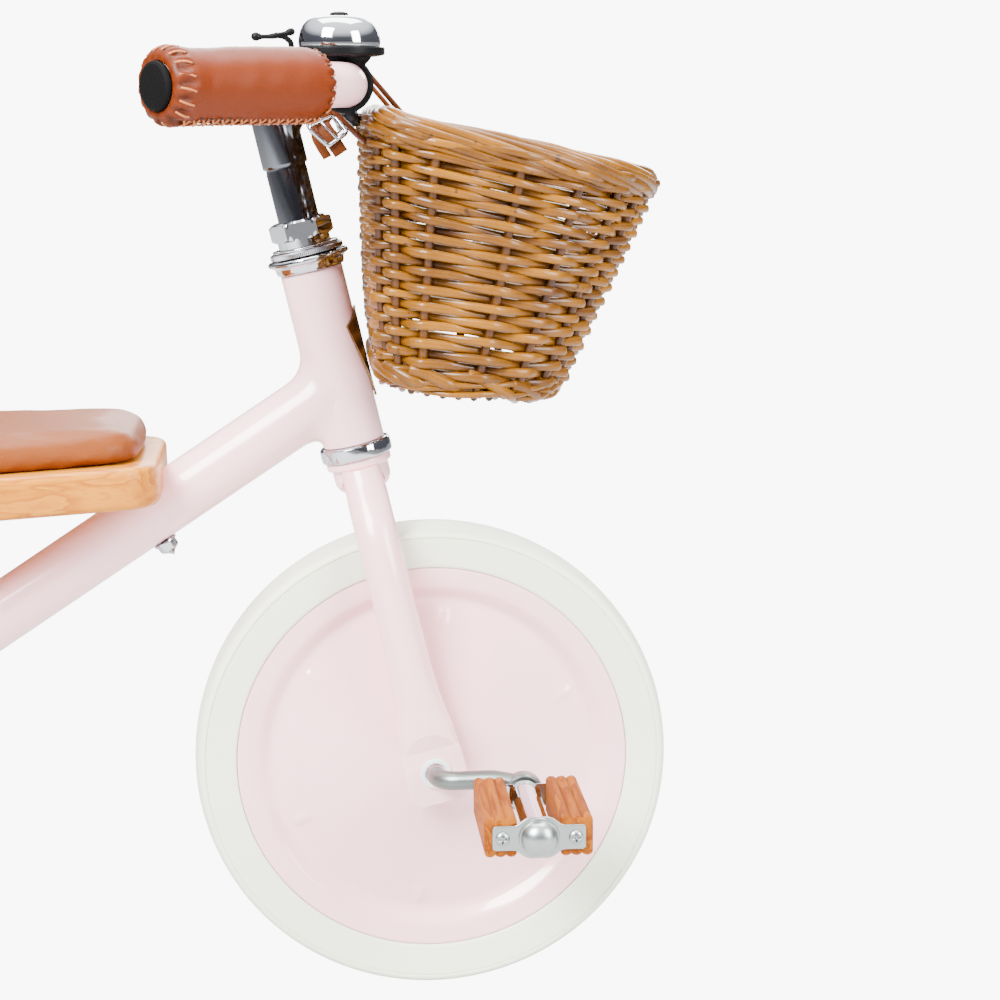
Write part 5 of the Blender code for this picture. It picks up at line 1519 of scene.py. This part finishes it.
plain = {"upper_bearing": (chrome, "frame"), "lower_bearing": (chrome, "frame"),
         "seat_front_bolt": (zinc, "frame"),
         "seat_rear_bolt_left": (zinc, "frame"), "seat_rear_bolt_right": (zinc, "frame"),
         "rear_axle": (zinc, "frame"),
         "stem_wedge": (zinc, "handlebar_set"), "stem_expander_bolt": (zinc, "handlebar_set"),
         "stem_clamp_bolt": (zinc, "handlebar_set"), "rear_bush_left": (nylon, "rear_wheel_left"),
         "rear_bush_right": (nylon, "rear_wheel_right")}
for name, (look, body) in plain.items():
    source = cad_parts[name]
    mesh = source.data.copy()
    bm = bmesh.new()
    bm.from_mesh(mesh)
    bmesh.ops.remove_doubles(bm, verts=bm.verts, dist=0.00001)
    bm.to_mesh(mesh)
    bm.free()
    mesh.shade_smooth()
    mesh.set_sharp_from_angle(angle=math.radians(35))
    mesh.materials.clear()
    mesh.materials.append(look)
    obj = bpy.data.objects.new("smooth_" + name, mesh)
    bpy.context.scene.collection.objects.link(obj)
    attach(obj, body)
    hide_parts(name)

# floor, world and lights

stageSettings = {"floor": (0.52, 0.52, 0.52), "seen": 9.0, "floorSeen": 9.2, "world": 1.5}
floorMesh = bpy.data.meshes.new("floor")
floorMesh.from_pydata([(-40, -40, 0), (40, -40, 0), (40, 40, 0), (-40, 40, 0)], [], [(0, 1, 2, 3)])
floor = bpy.data.objects.new("floor", floorMesh)
bpy.context.scene.collection.objects.link(floor)
floorLook = finish("floorLook", stageSettings["floor"], 0.6, amount=0.0, grain=(40.0, 0.0),
                   Specular_IOR_Level=0.1)
tree = floorLook.node_tree
# the camera sees the floor as white backdrop, while the tricycle is lit by its plain pale colour
ray = node(tree, "ShaderNodeLightPath")
glow = node(tree, "ShaderNodeEmission", in_Strength=stageSettings["floorSeen"])
blend = node(tree, "ShaderNodeMixShader")
tree.links.new(math2(tree, "MULTIPLY", ray.outputs["Is Camera Ray"], 0.96), blend.inputs[0])
tree.links.new(tree.nodes["Principled BSDF"].outputs[0], blend.inputs[1])
tree.links.new(glow.outputs[0], blend.inputs[2])
tree.links.new(blend.outputs[0], tree.nodes["Material Output"].inputs[0])
floorMesh.materials.append(floorLook)

# the world: white to the camera, otherwise a studio with a dark band at the horizon and a bright ceiling
world = bpy.data.worlds.new("studio")
world.use_nodes = True
tree = world.node_tree
back = tree.nodes["Background"]
ray = node(tree, "ShaderNodeLightPath")
where = node(tree, "ShaderNodeTexCoord")
split = node(tree, "ShaderNodeSeparateXYZ")
tree.links.new(where.outputs["Generated"], split.inputs[0])
height = math2(tree, "ADD", math2(tree, "MULTIPLY", split.outputs[2], 0.5), 0.5, True)
tone = ramp(tree, height, [(0.0, (0.3, 0.3, 0.3)), (0.49, (0.22, 0.22, 0.23)), (0.51, (0.04, 0.04, 0.045)),
                           (0.65, (0.06, 0.06, 0.07)), (0.76, (0.62, 0.63, 0.64)), (1.0, (1.0, 1.0, 1.0))])
strength = math2(tree, "ADD", math2(tree, "MULTIPLY", ray.outputs["Is Camera Ray"],
                                    stageSettings["seen"] - stageSettings["world"]), stageSettings["world"])
# bright metal mirrors a ceiling that is brighter still
strength = math2(tree, "ADD", strength, math2(tree, "MULTIPLY", ray.outputs["Is Glossy Ray"], 2.0))
colour = mixColour(tree, ray.outputs["Is Camera Ray"], tone, (1.0, 1.0, 1.0))
tree.links.new(colour, back.inputs[0])
tree.links.new(strength, back.inputs[1])
bpy.context.scene.world = world


# each light's place, what it aims at, its two sizes and its power
studioLights = {"keyLight": ((-1.3, -1.9, 2.1), (0.1, 0, 0.35), (1.4, 1.4), 400),
                "fillLight": ((2.0, -1.7, 1.3), (0.1, 0, 0.3), (1.0, 1.6), 130),
                "topLight": ((0.2, 0.4, 2.6), (0.1, 0, 0.2), (2.4, 1.6), 170),
                "backLight": ((0.6, 2.2, 1.4), (0.1, 0, 0.3), (1.6, 1.2), 70)}
for name, (place, target, size, power) in studioLights.items():
    lightData = bpy.data.lights.new(name, "AREA")
    lightData.shape = "RECTANGLE"
    lightData.size, lightData.size_y = size
    lightData.energy = power
    lamp = bpy.data.objects.new(name, lightData)
    bpy.context.scene.collection.objects.link(lamp)
    lamp.location = place
    lamp.rotation_euler = (Vector(target) - Vector(place)).to_track_quat("-Z", "Y").to_euler()
print("stage: lights")
